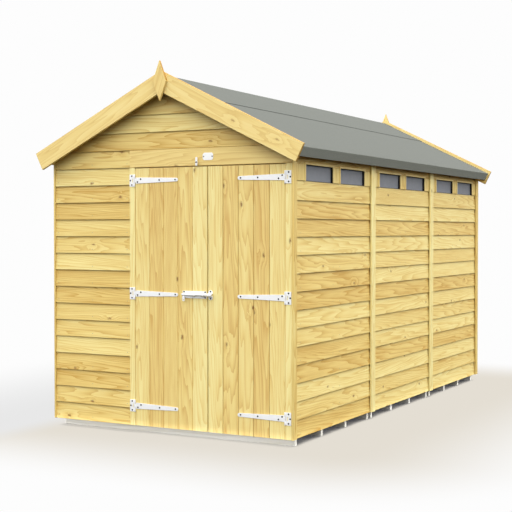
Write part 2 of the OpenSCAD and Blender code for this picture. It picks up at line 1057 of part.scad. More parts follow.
// Bent strap over the bar's end, open toward the door, with a rounded foot above and below.
module bolt_keep() {
    inner = bolt_radius + keep_gap;
    outer = inner + sheet_thickness;
    flat = inner - keep_bevel_width;
    bend_y = bolt_y - flat;
    bridge_in = bolt_y - inner;
    bridge_out = bridge_in - sheet_thickness;
    foot = (keep_height - keep_width) * half_share;
    upper = [
        [bridge_in, flat], [bend_y, inner], [sheet_back, inner], [sheet_back, foot],
        [sheet_front, foot], [sheet_front, outer], [bend_y, outer], [bridge_out, flat]
    ];
    last = len(upper) - 1;
    points = concat(
        [for (k = [0 : last]) [upper[k][0], bolt_height + upper[k][1]]],
        [for (k = [0 : last]) [upper[last - k][0], bolt_height - upper[last - k][1]]]
    );
    middle = keep_left + keep_width * half_share;
    color("Silver") {
        along_x(points, keep_left, keep_left + keep_width);
        for (z = [bolt_height - foot, bolt_height + foot])
            rod_y(keep_width * half_share, sheet_front, sheet_back, middle, z);
    }
}

// Off-centre button with its long arm up, clear of the doors; half a turn brings it down over the left door.
module turn_button() {
    half = button_width * half_share;
    front = button_back - button_thickness;
    low = button_z - button_short_length + half;
    high = button_z + button_long_length - half;
    color("Silver") {
        rod_y(button_spacer_radius, button_back, front_y - joint_gap, button_x, button_z);
        block(button_x - half, button_x + half, front, button_back, low, high);
        rod_y(half, front, button_back, button_x, low);
        rod_y(half, front, button_back, button_x, high);
    }
}

floor_bearers();
floor_front();
floor_middle();
floor_back();
front_frame();
back_frame();
left_frame();
right_frame();
right_cladding();
left_cladding();
back_cladding();
front_left_cladding();
front_gable_cladding();
window_posts();
window_heads();
window_glass();
door_lintel();
door_jambs();
corner_strips();
cover_strips();
roof_deck_left();
roof_deck_right();
roof_bars_left();
roof_bars_right();
felt_left();
felt_right();
felt_ridge();
front_barge_left();
front_barge_right();
back_barge_left();
back_barge_right();
front_finial();
back_finial();
left_door_boards();
right_door_boards();
left_door_bracing();
right_door_bracing();
left_hinge_plates();
right_hinge_plates();
left_hinge_straps();
right_hinge_straps();
bolt_plate();
bolt_bar();
bolt_keep();
turn_button();
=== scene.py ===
# %% [markdown]
# # A garden shed, dressed board by board
# The solids of the shed come from its CAD source and are loaded as a fixed frame. This file gives them
# their looks: every lapped board, floor board and door board becomes a piece of timber with its own
# grain, posts and strips get eased edges, and the ironwork gets its screws. All lengths are metres, in
# the frame that the CAD uses: Z up, doors facing -Y.

import math
import random

import bmesh
import bpy
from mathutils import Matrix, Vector


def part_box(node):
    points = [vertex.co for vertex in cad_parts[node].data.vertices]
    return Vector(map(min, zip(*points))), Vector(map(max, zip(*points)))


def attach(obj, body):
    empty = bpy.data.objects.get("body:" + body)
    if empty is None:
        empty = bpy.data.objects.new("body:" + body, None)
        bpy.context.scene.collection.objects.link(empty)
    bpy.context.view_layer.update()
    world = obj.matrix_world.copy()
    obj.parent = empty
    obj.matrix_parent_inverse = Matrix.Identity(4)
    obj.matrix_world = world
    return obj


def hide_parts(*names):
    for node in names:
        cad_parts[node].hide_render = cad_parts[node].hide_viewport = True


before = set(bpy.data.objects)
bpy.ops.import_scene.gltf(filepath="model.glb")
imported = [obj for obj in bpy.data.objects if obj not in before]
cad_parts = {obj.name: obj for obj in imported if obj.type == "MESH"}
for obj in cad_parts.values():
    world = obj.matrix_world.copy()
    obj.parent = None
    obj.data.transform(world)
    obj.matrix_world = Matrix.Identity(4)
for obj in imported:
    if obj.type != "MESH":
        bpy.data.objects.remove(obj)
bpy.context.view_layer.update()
scene = bpy.context.scene
MM = 0.001
X, Y, Z = Vector((1, 0, 0)), Vector((0, 1, 0)), Vector((0, 0, 1))

# %% [markdown]
# ## Camera
# The view was worked out beforehand from straight edges of the shed: a camera about 9 m from its middle,
# to the right of the doors and at about two thirds of the wall's height. A long lens keeps the verticals
# almost parallel, so no shift is needed.

# %% Camera
CAMERA_PLACE = (3.9871, -8.0162, 1.3285)
CAMERA_DIP = 1.2902  # degrees below level
CAMERA_TURN = 28.3573  # degrees to the left of straight ahead
LENS, SENSOR = 80.18, 36  # millimetres
FAR_CLIP = 200
camera = bpy.data.objects.new("camera", bpy.data.cameras.new("camera"))
scene.collection.objects.link(camera)
camera.location = CAMERA_PLACE
camera.rotation_euler = (math.radians(90 - CAMERA_DIP), 0, math.radians(CAMERA_TURN))
camera.data.lens = LENS
camera.data.sensor_width = SENSOR
camera.data.clip_end = FAR_CLIP
scene.camera = camera
print("camera", CAMERA_PLACE)

# %% [markdown]
# ## Light
# The setting is a white studio under a dome of light that is five times as bright overhead as at the
# horizon, the kind that a photographer makes with a large tent and a lamp above it. All of it comes from
# above the horizon, so the walls are lit alike, the roof catches more, and eaves, barge boards and laps
# each leave their own soft shade. Two low strips of light reach under the walls and bring out the
# bearers. The plain view transform keeps the timber as yellow as its own colour says.

# %% Colours and nodes
scene.view_settings.view_transform = "Standard"


def linear(code):
    """An sRGB hex colour as the linear values that Blender's sockets take."""
    parts = [int(code[k:k + 2], 16) / 255 for k in (1, 3, 5)]
    return (*[c / 12.92 if c <= 0.04045 else ((c + 0.055) / 1.055) ** 2.4 for c in parts], 1.0)


def add(tree, kind, inputs=None, **settings):
    """Adds a node, sets its options, and fills its sockets with values or with links from other sockets."""
    node = tree.nodes.new(kind)
    for name, value in settings.items():
        setattr(node, name, value)
    for name, value in (inputs or {}).items():
        if isinstance(value, bpy.types.NodeSocket):
            tree.links.new(value, node.inputs[name])
        else:
            node.inputs[name].default_value = value
    return node


print("backdrop white in linear values:", linear("#FDFDFD"))

# %% The dome
DOME = 0.778  # strength at the horizon
OVERHEAD = 4.0  # how much is added to that straight above, as a share of it
world = bpy.data.worlds.new("white_studio")
scene.world = world
world.use_nodes = True
sky = world.node_tree
sky.nodes.clear()
seen = add(sky, "ShaderNodeLightPath")
looking = add(sky, "ShaderNodeTexCoord")
rise = add(sky, "ShaderNodeSeparateXYZ", {0: looking.outputs["Generated"]})
above = add(sky, "ShaderNodeMath", {0: rise.outputs["Z"], 1: 0.0}, operation="GREATER_THAN")
brighter = add(sky, "ShaderNodeMath", {0: rise.outputs["Z"], 1: OVERHEAD, 2: 1.0}, operation="MULTIPLY_ADD")
lit = add(sky, "ShaderNodeMath", {0: brighter.outputs[0], 1: DOME}, operation="MULTIPLY")
power = add(sky, "ShaderNodeMath", {0: above.outputs[0], 1: lit.outputs[0]}, operation="MULTIPLY")
dome = add(sky, "ShaderNodeBackground", {"Color": linear("#FFFFFF"), "Strength": power.outputs[0]})
backdrop = add(sky, "ShaderNodeBackground", {"Color": linear("#FDFDFD"), "Strength": 1.0})
chosen = add(
    sky, "ShaderNodeMixShader",
    {0: seen.outputs["Is Camera Ray"], 1: dome.outputs[0], 2: backdrop.outputs[0]},
)
add(sky, "ShaderNodeOutputWorld", {"Surface": chosen.outputs[0]})
print("dome strength from", DOME, "to", DOME * (1 + OVERHEAD))

# %% The low strips
STRIP_HIGH = 15 * MM
STRIP_DEEP = 20 * MM
STRIP_BEAM = math.radians(14)


def low_strip(name, across, ahead, aim, length, energy):
    """A long flat light near the floor with a narrow beam, hidden from the camera."""
    lamp = bpy.data.lights.new(name, "AREA")
    lamp.shape = "RECTANGLE"
    lamp.size = length
    lamp.size_y = STRIP_DEEP
    lamp.spread = STRIP_BEAM
    lamp.energy = energy
    holder = bpy.data.objects.new(name, lamp)
    scene.collection.objects.link(holder)
    holder.location = (across, ahead, STRIP_HIGH)
    holder.rotation_euler = aim.to_track_quat("-Z", "Y").to_euler()
    holder.visible_camera = False


low_strip("front_strip", -0.3, -2.5, Y, length=2.4, energy=0.42)
low_strip("right_strip", 1.55, 0, -X, length=3.8, energy=0.5)
print("strips:", [light.name for light in bpy.data.lights])

# %% [markdown]
# ## Floor
# The floor is a sheet of white paper that fades into the backdrop. To the camera it shines by itself and
# stays white. To everything else it is nearly black, so that it sends almost no light back up under the
# eaves. Two shades lie on it: a wide one round the shed, warm from the timber in front and at the right,
# cooler and longer at the left, and a dark one where something stands close above, as under the walls
# between the bearers.

# %% The floor and its wide shade
FLOOR_REACH = 60
SHADE_GROUND = (1.15, 1.75, 0)  # half the ground on which the shade is full
SHADE_START, SHADE_END = 0.15, 1.5  # distances from that ground between which it fades
LEFT_FULL, LEFT_START = -1.15, -0.75  # across the floor, where the cooler shade is full and where it starts
LEFT_EXTRA = 1.0  # how much further it reaches
floor_mesh = bpy.data.meshes.new("studio_floor")
corners = [(x * FLOOR_REACH, y * FLOOR_REACH, 0) for x, y in ((-1, -1), (1, -1), (1, 1), (-1, 1))]
floor_mesh.from_pydata(corners, [], [(0, 1, 2, 3)])
studio_floor = bpy.data.objects.new("studio_floor", floor_mesh)
scene.collection.objects.link(studio_floor)

# Paper: to the camera a glowing white with painted shades on it, and to everything else nearly black.
paper = bpy.data.materials.new("white_paper_floor")
paper.use_nodes = True
sheet = paper.node_tree
sheet.nodes.clear()
place = add(sheet, "ShaderNodeTexCoord").outputs["Object"]
quarter = add(sheet, "ShaderNodeVectorMath", {0: place}, operation="ABSOLUTE")
past = add(sheet, "ShaderNodeVectorMath", {0: quarter.outputs[0], 1: SHADE_GROUND}, operation="SUBTRACT")
outside = add(sheet, "ShaderNodeVectorMath", {0: past.outputs[0], 1: (0, 0, 0)}, operation="MAXIMUM")
far_off = add(sheet, "ShaderNodeVectorMath", {0: outside.outputs[0]}, operation="LENGTH")
on_floor = add(sheet, "ShaderNodeSeparateXYZ", {0: place})
leftness = add(
    sheet, "ShaderNodeMapRange",
    {
        "Value": on_floor.outputs["X"], "From Min": LEFT_FULL, "From Max": LEFT_START,
        "To Min": 1.0, "To Max": 0.0,
    },
    interpolation_type="SMOOTHSTEP",
)
shade_end = add(
    sheet, "ShaderNodeMath", {0: leftness.outputs[0], 1: LEFT_EXTRA, 2: SHADE_END}, operation="MULTIPLY_ADD",
)
near_floor = add(
    sheet, "ShaderNodeMix", {0: leftness.outputs[0], 6: linear("#E4DED3"), 7: linear("#E8E8E8")},
    data_type="RGBA",
)
fade = add(
    sheet, "ShaderNodeMapRange",
    {"Value": far_off.outputs["Value"], "From Min": SHADE_START, "From Max": shade_end.outputs[0]},
    interpolation_type="SMOOTHSTEP",
)
open_floor = add(
    sheet, "ShaderNodeMix", {0: fade.outputs[0], 6: near_floor.outputs[2], 7: linear("#FDFDFD")},
    data_type="RGBA",
)
print("floor", 2 * FLOOR_REACH, "m wide")

# %% The floor's dark gaps
GAP_REACH = 0.16  # how close something has to be to darken the floor
GAP_DARK, GAP_CLEAR = 0.13, 0.52  # openness at which the floor is darkest and at which it is clear
AHEAD_CLEAR = 0.75  # ahead of the front bearer the strip of light takes most of that shade away
closeness = add(sheet, "ShaderNodeAmbientOcclusion", {"Distance": GAP_REACH}, samples=12)
free = add(
    sheet, "ShaderNodeMapRange",
    {"Value": closeness.outputs["AO"], "From Min": GAP_DARK, "From Max": GAP_CLEAR},
    interpolation_type="SMOOTHSTEP",
)
bearer_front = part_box("floor_bearers")[0].y
# Ahead of the front bearer most of the painted shade is taken away again: painted light where the front strip
# shines.
ahead = add(sheet, "ShaderNodeMath", {0: on_floor.outputs["Y"], 1: bearer_front}, operation="LESS_THAN")
lit_ahead = add(sheet, "ShaderNodeMath", {0: ahead.outputs[0], 1: AHEAD_CLEAR}, operation="MULTIPLY")
clear = add(sheet, "ShaderNodeMath", {0: free.outputs[0], 1: lit_ahead.outputs[0]}, operation="MAXIMUM")
shaded = add(
    sheet, "ShaderNodeMix", {0: clear.outputs[0], 6: linear("#424348"), 7: open_floor.outputs[2]},
    data_type="RGBA",
)
seen_floor = add(sheet, "ShaderNodeLightPath")
dark = add(sheet, "ShaderNodeBsdfDiffuse", {"Color": linear("#1E1E1E")})
shown = add(sheet, "ShaderNodeEmission", {"Color": shaded.outputs[2], "Strength": 1.0})
both = add(
    sheet, "ShaderNodeMixShader",
    {0: seen_floor.outputs["Is Camera Ray"], 1: dark.outputs[0], 2: shown.outputs[0]},
)
add(sheet, "ShaderNodeOutputMaterial", {"Surface": both.outputs[0]})
floor_mesh.materials.append(paper)
print("floor material:", len(sheet.nodes), "nodes")

# %% [markdown]
# ## Pine
# The shed is planed and treated pine: pale straw wood with soft yellow growth rings that run in long
# flames along each board, a fine streaked fibre, and now and then a small brown knot that the rings bend
# round. Photographs could be laid on, but a tree of nodes keeps every board different. Rings round a long
# axis, cut by the board's face, give the flames by themselves. Each piece of timber carries three values
# of its own on its points: where a point lies along, across and through the board, a random shift of that
# place, and a tone.

# %% Knots
# A knot is a branch that runs right through the board, so the cells that may hold one are flat.
KNOT_CELL = (1 / 3, 1 / 6, 1 / 6)  # metres along, across and through the board
KNOT_EMPTY = 0.82  # share of the cells that hold no knot
KNOT_CORE, KNOT_REACH = 0.075, 0.32  # of a cell: the brown core, and as far as rings bend round it
KNOT_DARK = 0.9
KNOT_BEND = 12 * MM
KNOT_RAGGED, RAGGED_SHARE = 1 / 55, 0.1  # a knot's edge frays in bits of 18 mm


def pine_knots(tree, place):
    """How dark a point is with knot, and how far a knot pulls the rings aside there."""
    cells = add(tree, "ShaderNodeMapping", {"Vector": place, "Scale": [1 / size for size in KNOT_CELL]})
    ragged = add(tree, "ShaderNodeTexNoise", {"Vector": place, "Scale": 1 / KNOT_RAGGED, "Detail": 2.0})
    frayed = add(
        tree, "ShaderNodeVectorMath", {0: ragged.outputs["Color"], 1: (0.5, 0.5, 0.5)}, operation="SUBTRACT",
    )
    frayed_cells = add(
        tree, "ShaderNodeVectorMath", {0: frayed.outputs[0], 1: [RAGGED_SHARE] * 3, 2: cells.outputs[0]},
        operation="MULTIPLY_ADD",
    )
    knots = add(
        tree, "ShaderNodeTexVoronoi", {"Vector": frayed_cells.outputs[0], "Scale": 1.0},
        voronoi_dimensions="2D",
    )
    chance = add(tree, "ShaderNodeSeparateColor", {0: knots.outputs["Color"]})
    here = add(tree, "ShaderNodeMath", {0: chance.outputs[0], 1: KNOT_EMPTY}, operation="GREATER_THAN")
    found = []
    for reach, most in ((KNOT_CORE, KNOT_DARK), (KNOT_REACH, KNOT_BEND)):
        near = add(
            tree, "ShaderNodeMapRange",
            {
                "Value": knots.outputs["Distance"], "From Min": 0.0, "From Max": reach,
                "To Min": most, "To Max": 0.0,
            },
            interpolation_type="SMOOTHSTEP",
        )
        kept = add(tree, "ShaderNodeMath", {0: near.outputs[0], 1: here.outputs[0]}, operation="MULTIPLY")
        found.append(kept.outputs[0])
    return found


print("one knot to every", round(KNOT_CELL[0] * KNOT_CELL[1] / (1 - KNOT_EMPTY), 2), "square metres")

# %% Growth rings
WAVE_PERIOD = 2 * math.pi / 20  # the ring pattern repeats after this length at scale 1
RING_STRETCH = 0.07  # rings are drawn out fourteen times along the board
RING_SKEW = (0, 0.38, 0.1)  # radians by which they lie askew to it
SWAY_SIZE, SWAY = 1 / 11, 75 * MM  # they wander a few centimetres, in bends of 9 cm


def pine_rings(tree, place, pull, ring):
    """Growth rings of a given width, from 0 for early wood to 1 for late wood."""
    drawn = add(
        tree, "ShaderNodeMapping",
        {"Vector": place, "Scale": (RING_STRETCH, 1.0, 1.0), "Rotation": RING_SKEW},
    )
    wander = add(
        tree, "ShaderNodeTexNoise",
        {"Vector": drawn.outputs[0], "Scale": 1 / SWAY_SIZE, "Detail": 2.0, "Roughness": 0.5},
    )
    centred = add(
        tree, "ShaderNodeVectorMath", {0: wander.outputs["Color"], 1: (0.5, 0.5, 0.5)}, operation="SUBTRACT",
    )
    sway = add(tree, "ShaderNodeVectorMath", {0: centred.outputs[0], "Scale": SWAY}, operation="SCALE")
    aside = add(tree, "ShaderNodeCombineXYZ", {"Y": pull, "Z": pull})
    bent = add(tree, "ShaderNodeVectorMath", {0: sway.outputs[0], 1: aside.outputs[0]}, operation="ADD")
    ringed = add(tree, "ShaderNodeVectorMath", {0: drawn.outputs[0], 1: bent.outputs[0]}, operation="ADD")
    rings = add(
        tree, "ShaderNodeTexWave",
        {
            "Vector": ringed.outputs[0], "Scale": WAVE_PERIOD / ring,
            "Distortion": 1.4, "Detail": 2.0, "Detail Scale": 1.5,
        },
        wave_type="RINGS", rings_direction="X", wave_profile="SAW",
    )
    return rings.outputs["Fac"]


print("ring pattern period", round(WAVE_PERIOD, 4))

# %% The whole pine
# Fibre is drawn several times coarser than real, 9 mm across, so that it still shows from a few metres away.
FIBRE = (1 / 6, 1 / 110, 1 / 110)  # metres along, across and through the board
CLOUD = (1 / 1.8, 1 / 22, 1 / 22)  # wide soft streaks, 45 mm across
RING_SHARE, FIBRE_SHARE, CLOUD_SHARE = 0.62, 0.62, 0.85
RING_EDGE = 2.5  # the power that narrows late wood to a thin dark line
FIBRE_RELIEF = 0.6 * MM


def pine(name, shades, knot, ring, tone_share, contrast, rough):
    """Pine in a pale, a middle and a deep shade. The tone share says how far two boards may differ."""
    material = bpy.data.materials.new(name)
    material.use_nodes = True
    tree = material.node_tree
    tree.nodes.clear()
    grain = add(tree, "ShaderNodeAttribute", attribute_name="grain")
    shift = add(tree, "ShaderNodeAttribute", attribute_name="shift")
    tone = add(tree, "ShaderNodeAttribute", attribute_name="tone")
    moved = add(
        tree, "ShaderNodeVectorMath", {0: grain.outputs["Vector"], 1: shift.outputs["Vector"]},
        operation="ADD",
    )
    place = moved.outputs[0]
    spot, pull = pine_knots(tree, place)
    rings = pine_rings(tree, place, pull, ring)
    thin = add(tree, "ShaderNodeMapping", {"Vector": place, "Scale": [1 / size for size in FIBRE]})
    fibre = add(
        tree, "ShaderNodeTexNoise",
        {"Vector": thin.outputs[0], "Scale": 1.0, "Detail": 3.0, "Roughness": 0.6},
    )
    wide = add(tree, "ShaderNodeMapping", {"Vector": place, "Scale": [1 / size for size in CLOUD]})
    cloud = add(tree, "ShaderNodeTexNoise", {"Vector": wide.outputs[0], "Scale": 1.0, "Detail": 1.5})

    # The four parts are added up, each with its own share, and spread over the shades round their mean.
    late = add(tree, "ShaderNodeMath", {0: rings, 1: RING_EDGE}, operation="POWER")
    total = add(tree, "ShaderNodeMath", {0: late.outputs[0], 1: RING_SHARE}, operation="MULTIPLY").outputs[0]
    sums = []
    for part, share in ((fibre, FIBRE_SHARE), (cloud, CLOUD_SHARE), (tone, tone_share)):
        more = add(
            tree, "ShaderNodeMath", {0: part.outputs["Fac"], 1: share, 2: total}, operation="MULTIPLY_ADD",
        )
        total = more.outputs[0]
        sums.append(total)
    mean = RING_SHARE / (RING_EDGE + 1) + 0.5 * (FIBRE_SHARE + CLOUD_SHARE + tone_share)
    level = add(
        tree, "ShaderNodeMapRange",
        {"Value": total, "From Min": mean - contrast, "From Max": mean + contrast},
    )
    pale, middle, deep = shades
    ramp = add(tree, "ShaderNodeValToRGB", {"Fac": level.outputs[0]})
    ramp.color_ramp.elements[0].color = linear(pale)
    ramp.color_ramp.elements[1].color = linear(deep)
    half = ramp.color_ramp.elements.new(0.5)
    half.color = linear(middle)
    mixed = add(
        tree, "ShaderNodeMix", {0: spot, 6: ramp.outputs["Color"], 7: linear(knot)}, data_type="RGBA",
    )
    relief = add(tree, "ShaderNodeBump", {"Strength": 0.25, "Distance": FIBRE_RELIEF, "Height": sums[0]})
    shader = add(
        tree, "ShaderNodeBsdfPrincipled",
        {"Base Color": mixed.outputs[2], "Roughness": rough, "IOR": 1.5, "Normal": relief.outputs[0]},
    )
    add(tree, "ShaderNodeOutputMaterial", {"Surface": shader.outputs[0]})
    return material


print("pine ready")

# %% The pines of this shed
# Planed wall boards: straw yellow, strong flames, and boards that differ a good deal from each other.
cladding_pine = pine(
    "planed_pine_cladding", ("#EDDD96", "#DFC373", "#C59B46"), "#7E4E16",
    ring=9 * MM, tone_share=0.75, contrast=0.65, rough=0.6,
)
# Planed door boards: the same wood, picked paler and planed a little smoother.
door_pine = pine(
    "planed_pine_door_boards", ("#F1E39E", "#E7CD80", "#D1A85C"), "#754612",
    ring=9 * MM, tone_share=0.8, contrast=0.64, rough=0.55,
)
# Planed trim: even and pale, with faint knots.
trim_pine = pine(
    "planed_pine_trim", ("#F2DD97", "#EACF83", "#DAB86B"), "#AD8446",
    ring=10 * MM, tone_share=0.35, contrast=0.6, rough=0.55,
)
# Sawn framing: dry, matte and less yellow than the planed boards.
frame_pine = pine(
    "sawn_pine_framing", ("#E6D5AC", "#D9C28C", "#C6A669"), "#744B20",
    ring=20 * MM, tone_share=0.7, contrast=0.6, rough=0.75,
)
# Sawn bearers: nearly grey white, with hardly any figure.
bearer_pine = pine(
    "sawn_pine_bearers", ("#E7E5DE", "#DEDBD2", "#CFCABB"), "#9C937D",
    ring=20 * MM, tone_share=0.5, contrast=0.6, rough=0.8,
)
# Sawn ends and top edges: deeper and browner than a planed face, partly from the open pores of end grain and
# partly as painted shade.
end_grain_and_shade_pine = pine(
    "sawn_pine_end_grain_and_painted_shade", ("#CFA652", "#BB8F3B", "#A27428"), "#694217",
    ring=6 * MM, tone_share=0.3, contrast=0.6, rough=0.8,
)
print("pine:", [m.name for m in bpy.data.materials if "pine" in m.name])

# %% [markdown]
# ## Felt, zinc, rubber and glazing
# Roofing felt is bitumen with a skin of crushed mineral: matte mid grey with a fine grit. The ironwork is
# bright zinc-plated steel, almost white, with a soft sheen. Its screws are blackened. The panes are clear
# styrene sheet, painted grey as painted shade of the dark room behind it, and bedded against a black rubber
# seal whose black is partly painted shade of the deep step. One function makes all of these, because they
# differ only in their two tones, their grit and their gloss.

# %% A plain finish
GRIT_RELIEF = 0.15  # height of the grit as a share of its size
TONE_LOW, TONE_HIGH = 0.3, 0.7  # the part of the noise over which one tone turns into the other


def plain(name, low, high, grit, rough, **sockets):
    """A finish whose colour varies gently between two tones, with a grit of the given size in metres."""
    material = bpy.data.materials.new(name)
    material.use_nodes = True
    tree = material.node_tree
    tree.nodes.clear()
    where = add(tree, "ShaderNodeTexCoord")
    fine = add(
        tree, "ShaderNodeTexNoise",
        {"Vector": where.outputs["Object"], "Scale": 1 / grit, "Detail": 3.0, "Roughness": 0.6},
    )
    ramp = add(tree, "ShaderNodeValToRGB", {"Fac": fine.outputs["Fac"]})
    for element, position, code in zip(ramp.color_ramp.elements, (TONE_LOW, TONE_HIGH), (low, high)):
        element.position = position
        element.color = linear(code)
    relief = add(
        tree, "ShaderNodeBump",
        {"Strength": 0.2, "Distance": GRIT_RELIEF * grit, "Height": fine.outputs["Fac"]},
    )
    shader = add(
        tree, "ShaderNodeBsdfPrincipled",
        {"Base Color": ramp.outputs["Color"], "Roughness": rough, "Normal": relief.outputs[0]},
    )
    for key, value in sockets.items():
        shader.inputs[key.replace("_", " ")].default_value = value
    add(tree, "ShaderNodeOutputMaterial", {"Surface": shader.outputs[0]})
    return material


print("plain finish ready")

# %% The finishes of this shed
# Mineral felt: dull grey grit without any gloss. The grit is drawn at 7 mm so that it still shows.
roof_felt = plain("mineral_roof_felt", "#555952", "#5E5F5B", grit=7 * MM, rough=0.95, Specular_IOR_Level=0.2)
# The same felt on the bent, turned-down band, painted paler as painted light on a face turned down and away
# from the light.
felt_band_painted_light = plain(
    "mineral_roof_felt_band_painted_light", "#878B82", "#91948C", grit=7 * MM, rough=0.95, Specular_IOR_Level=0.2,
)
# Zinc plating: almost white, with a soft broad sheen.
zinc = plain("zinc_plated_steel", "#F4F5F5", "#FAFAFA", grit=30 * MM, rough=0.45, Metallic=0.2)
# Blackened screws: small matte black dots.
screw_steel = plain(
    "blackened_screw_steel", "#060606", "#0C0C0C", grit=2 * MM, rough=0.9, Specular_IOR_Level=0.05,
)
# Galvanised nails: dull grey points that hardly stand out from the wood.
nail_steel = plain("galvanised_nail_heads", "#8E8A7C", "#ABA794", grit=2 * MM, rough=0.5, Metallic=0.6)
# Rubber: a black line round each pane, lining the whole step, partly a real seal and partly painted shade.
seal_and_reveal_shade = plain("rubber_glazing_seal_and_painted_shade", "#0C0C0D", "#161617", grit=4 * MM, rough=0.7)
# Enamel: clean white with a slight gloss.
plate_enamel = plain("white_enamel_plate", "#F3F3F1", "#FBFBFA", grit=14 * MM, rough=0.3)
# Styrene sheet: painted a cloudy grey as painted shade of the dark room behind it, with little of the room
# showing through.
glazing = plain(
    "styrene_glazing", "#84878D", "#8B8E94", grit=60 * MM, rough=0.55, Alpha=0.9, Specular_IOR_Level=0.3,
)
print("finishes:", len(bpy.data.materials))

# %% [markdown]
# ## Timber out of the frame's own solids
# Posts, rails, strips and barge boards already have the right shape in the CAD model, but with edges as
# sharp as a razor and no grain. A copy of each node is merged into clean faces, every corner is eased by
# a millimetre or two, as a planing machine leaves it, and each separate stick gets the three values that
# the pine reads. The longest edge of a stick tells which way its grain runs. Flat faces stay flat and
# only the eased ones are shaded smooth, because a face that is smooth all over looks like a pillow.

# %% Helpers for pieces
pieces = {}


def show(name, mesh, body, slot, *nodes):
    """Puts a finished mesh into the scene on its body, in place of the CAD nodes that it stands for."""
    piece = bpy.data.objects.new(name, mesh)
    scene.collection.objects.link(piece)
    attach(piece, body)
    if nodes:
        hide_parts(*nodes)
    pieces[name] = piece
    return piece


def clean_copy(node):
    """A bmesh of a CAD node with its loose triangles merged into flat faces."""
    shape = bmesh.new()
    shape.from_mesh(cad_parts[node].data)
    bmesh.ops.remove_doubles(shape, verts=shape.verts, dist=0.01 * MM)
    bmesh.ops.dissolve_limit(shape, angle_limit=math.radians(1), verts=shape.verts, edges=shape.edges)
    for face in shape.faces:
        face.smooth = False
    return shape


def ease(shape, width, segments=2, corner=30):
    """Rounds every edge that turns by more than the corner angle, and marks round faces as smooth."""
    most = math.radians(corner)
    joined = [e for e in shape.edges if e.is_manifold]
    round_edges = {e for e in joined if math.radians(1) < e.calc_face_angle(0) <= most}
    for face in shape.faces:
        face.smooth = face.smooth or not round_edges.isdisjoint(face.edges)
    sharp = [e for e in joined if e.calc_face_angle(0) > most]
    eased = bmesh.ops.bevel(
        shape, geom=sharp, offset=width, offset_type="OFFSET", segments=segments, profile=0.5, affect="EDGES",
        clamp_overlap=True,
    )
    for face in eased["faces"]:
        face.smooth = True


def finish_mesh(shape, name, material, smooth=35):
    """Turns a bmesh into a mesh with one material. Round faces are shaded smooth up to the given angle."""
    mesh = bpy.data.meshes.new(name)
    bmesh.ops.recalc_face_normals(shape, faces=shape.faces)
    round_faces = [face.smooth for face in shape.faces]
    shape.to_mesh(mesh)
    shape.free()
    mesh.materials.append(material)
    mesh.set_sharp_from_angle(angle=math.radians(smooth))
    mesh.polygons.foreach_set("use_smooth", round_faces)
    return mesh


print("piece helpers ready")

# %% Sticks and their grain
dice = random.Random(4)
SHIFT_LOW, SHIFT_HIGH = Vector((-40, -0.10, 0.02)), Vector((40, 0.10, 0.12))
# Ends take the darker finish as end grain and painted shade; faces turned up take it as painted shade only.
END_FACING, TOP_FACING = 0.9, 0.3  # a face turned this far along the stick is an end, this far up a top edge
GRAIN_LAYERS = (
    ("grain", "FLOAT_VECTOR", "vector"), ("shift", "FLOAT_VECTOR", "vector"), ("tone", "FLOAT", "value"),
)


def sticks(shape):
    """The separate solids of a bmesh, as lists of vertices."""
    left, found = set(shape.verts), []
    for first in shape.verts:
        if first not in left:
            continue
        left.remove(first)
        reach, group = [first], []
        while reach:
            vert = reach.pop()
            group.append(vert)
            for edge in vert.link_edges:
                other = edge.other_vert(vert)
                if other in left:
                    left.remove(other)
                    reach.append(other)
        found.append(group)
    return sorted(found, key=lambda g: tuple(round(c, 4) for c in min(v.co[:] for v in g)))


def spread(group, axis, along):
    """How far a stick reaches along an axis, once the grain's own direction is taken out."""
    flat = axis - along * axis.dot(along)
    if flat.length < 0.3:
        return 0
    reach = [v.co.dot(flat) / flat.length for v in group]
    return max(reach) - min(reach)


def write_grain(mesh, points):
    """Stores grain place, shift and tone on a mesh's points."""
    for name, kind, key in GRAIN_LAYERS:
        layer = mesh.attributes.new(name, kind, "POINT")
        flat = [c for point in points for c in (point[name] if key == "vector" else (point[name],))]
        layer.data.foreach_set(key, flat)


def timber(node, body, slot, material, easing=1.5 * MM, upright=False, ends=None, chosen_tone=None):
    """A CAD node as timber, grain along each stick, and if wanted a darker finish on ends and tops, as end
    grain and painted shade.
    """
    shape = clean_copy(node)
    ease(shape, easing)
    sawn = set()
    points = [None] * len(shape.verts)
    shape.verts.index_update()
    for group in sticks(shape):
        longest = max((e for v in group for e in v.link_edges), key=lambda e: e.calc_length())
        along = Z if upright else (longest.verts[0].co - longest.verts[1].co).normalized()
        across = max((X, Y, Z), key=lambda axis: spread(group, axis, along))
        across = (across - along * across.dot(along)).normalized()
        through = along.cross(across)
        origin = sum((v.co for v in group), Vector()) / len(group)
        shift = Vector([dice.uniform(a, b) for a, b in zip(SHIFT_LOW, SHIFT_HIGH)])
        tone = dice.random()
        if chosen_tone is not None:
            tone = chosen_tone
        for v in group:
            p = v.co - origin
            grain = (p.dot(along), p.dot(across), p.dot(through))
            points[v.index] = {"grain": grain, "shift": shift, "tone": tone}
            for face in v.link_faces:
                # Ends and upward faces are marked for the darker finish, which on the tops is painted shade.
                if ends and (abs(face.normal.dot(along)) > END_FACING or face.normal.z > TOP_FACING):
                    sawn.add(face)
    for face in sawn:
        face.material_index = 1
    mesh = finish_mesh(shape, node + "_timber", material)
    if ends:
        mesh.materials.append(ends)
    write_grain(mesh, points)
    return show(node + "_timber", mesh, body, slot, node)


print("sticks and grain ready")
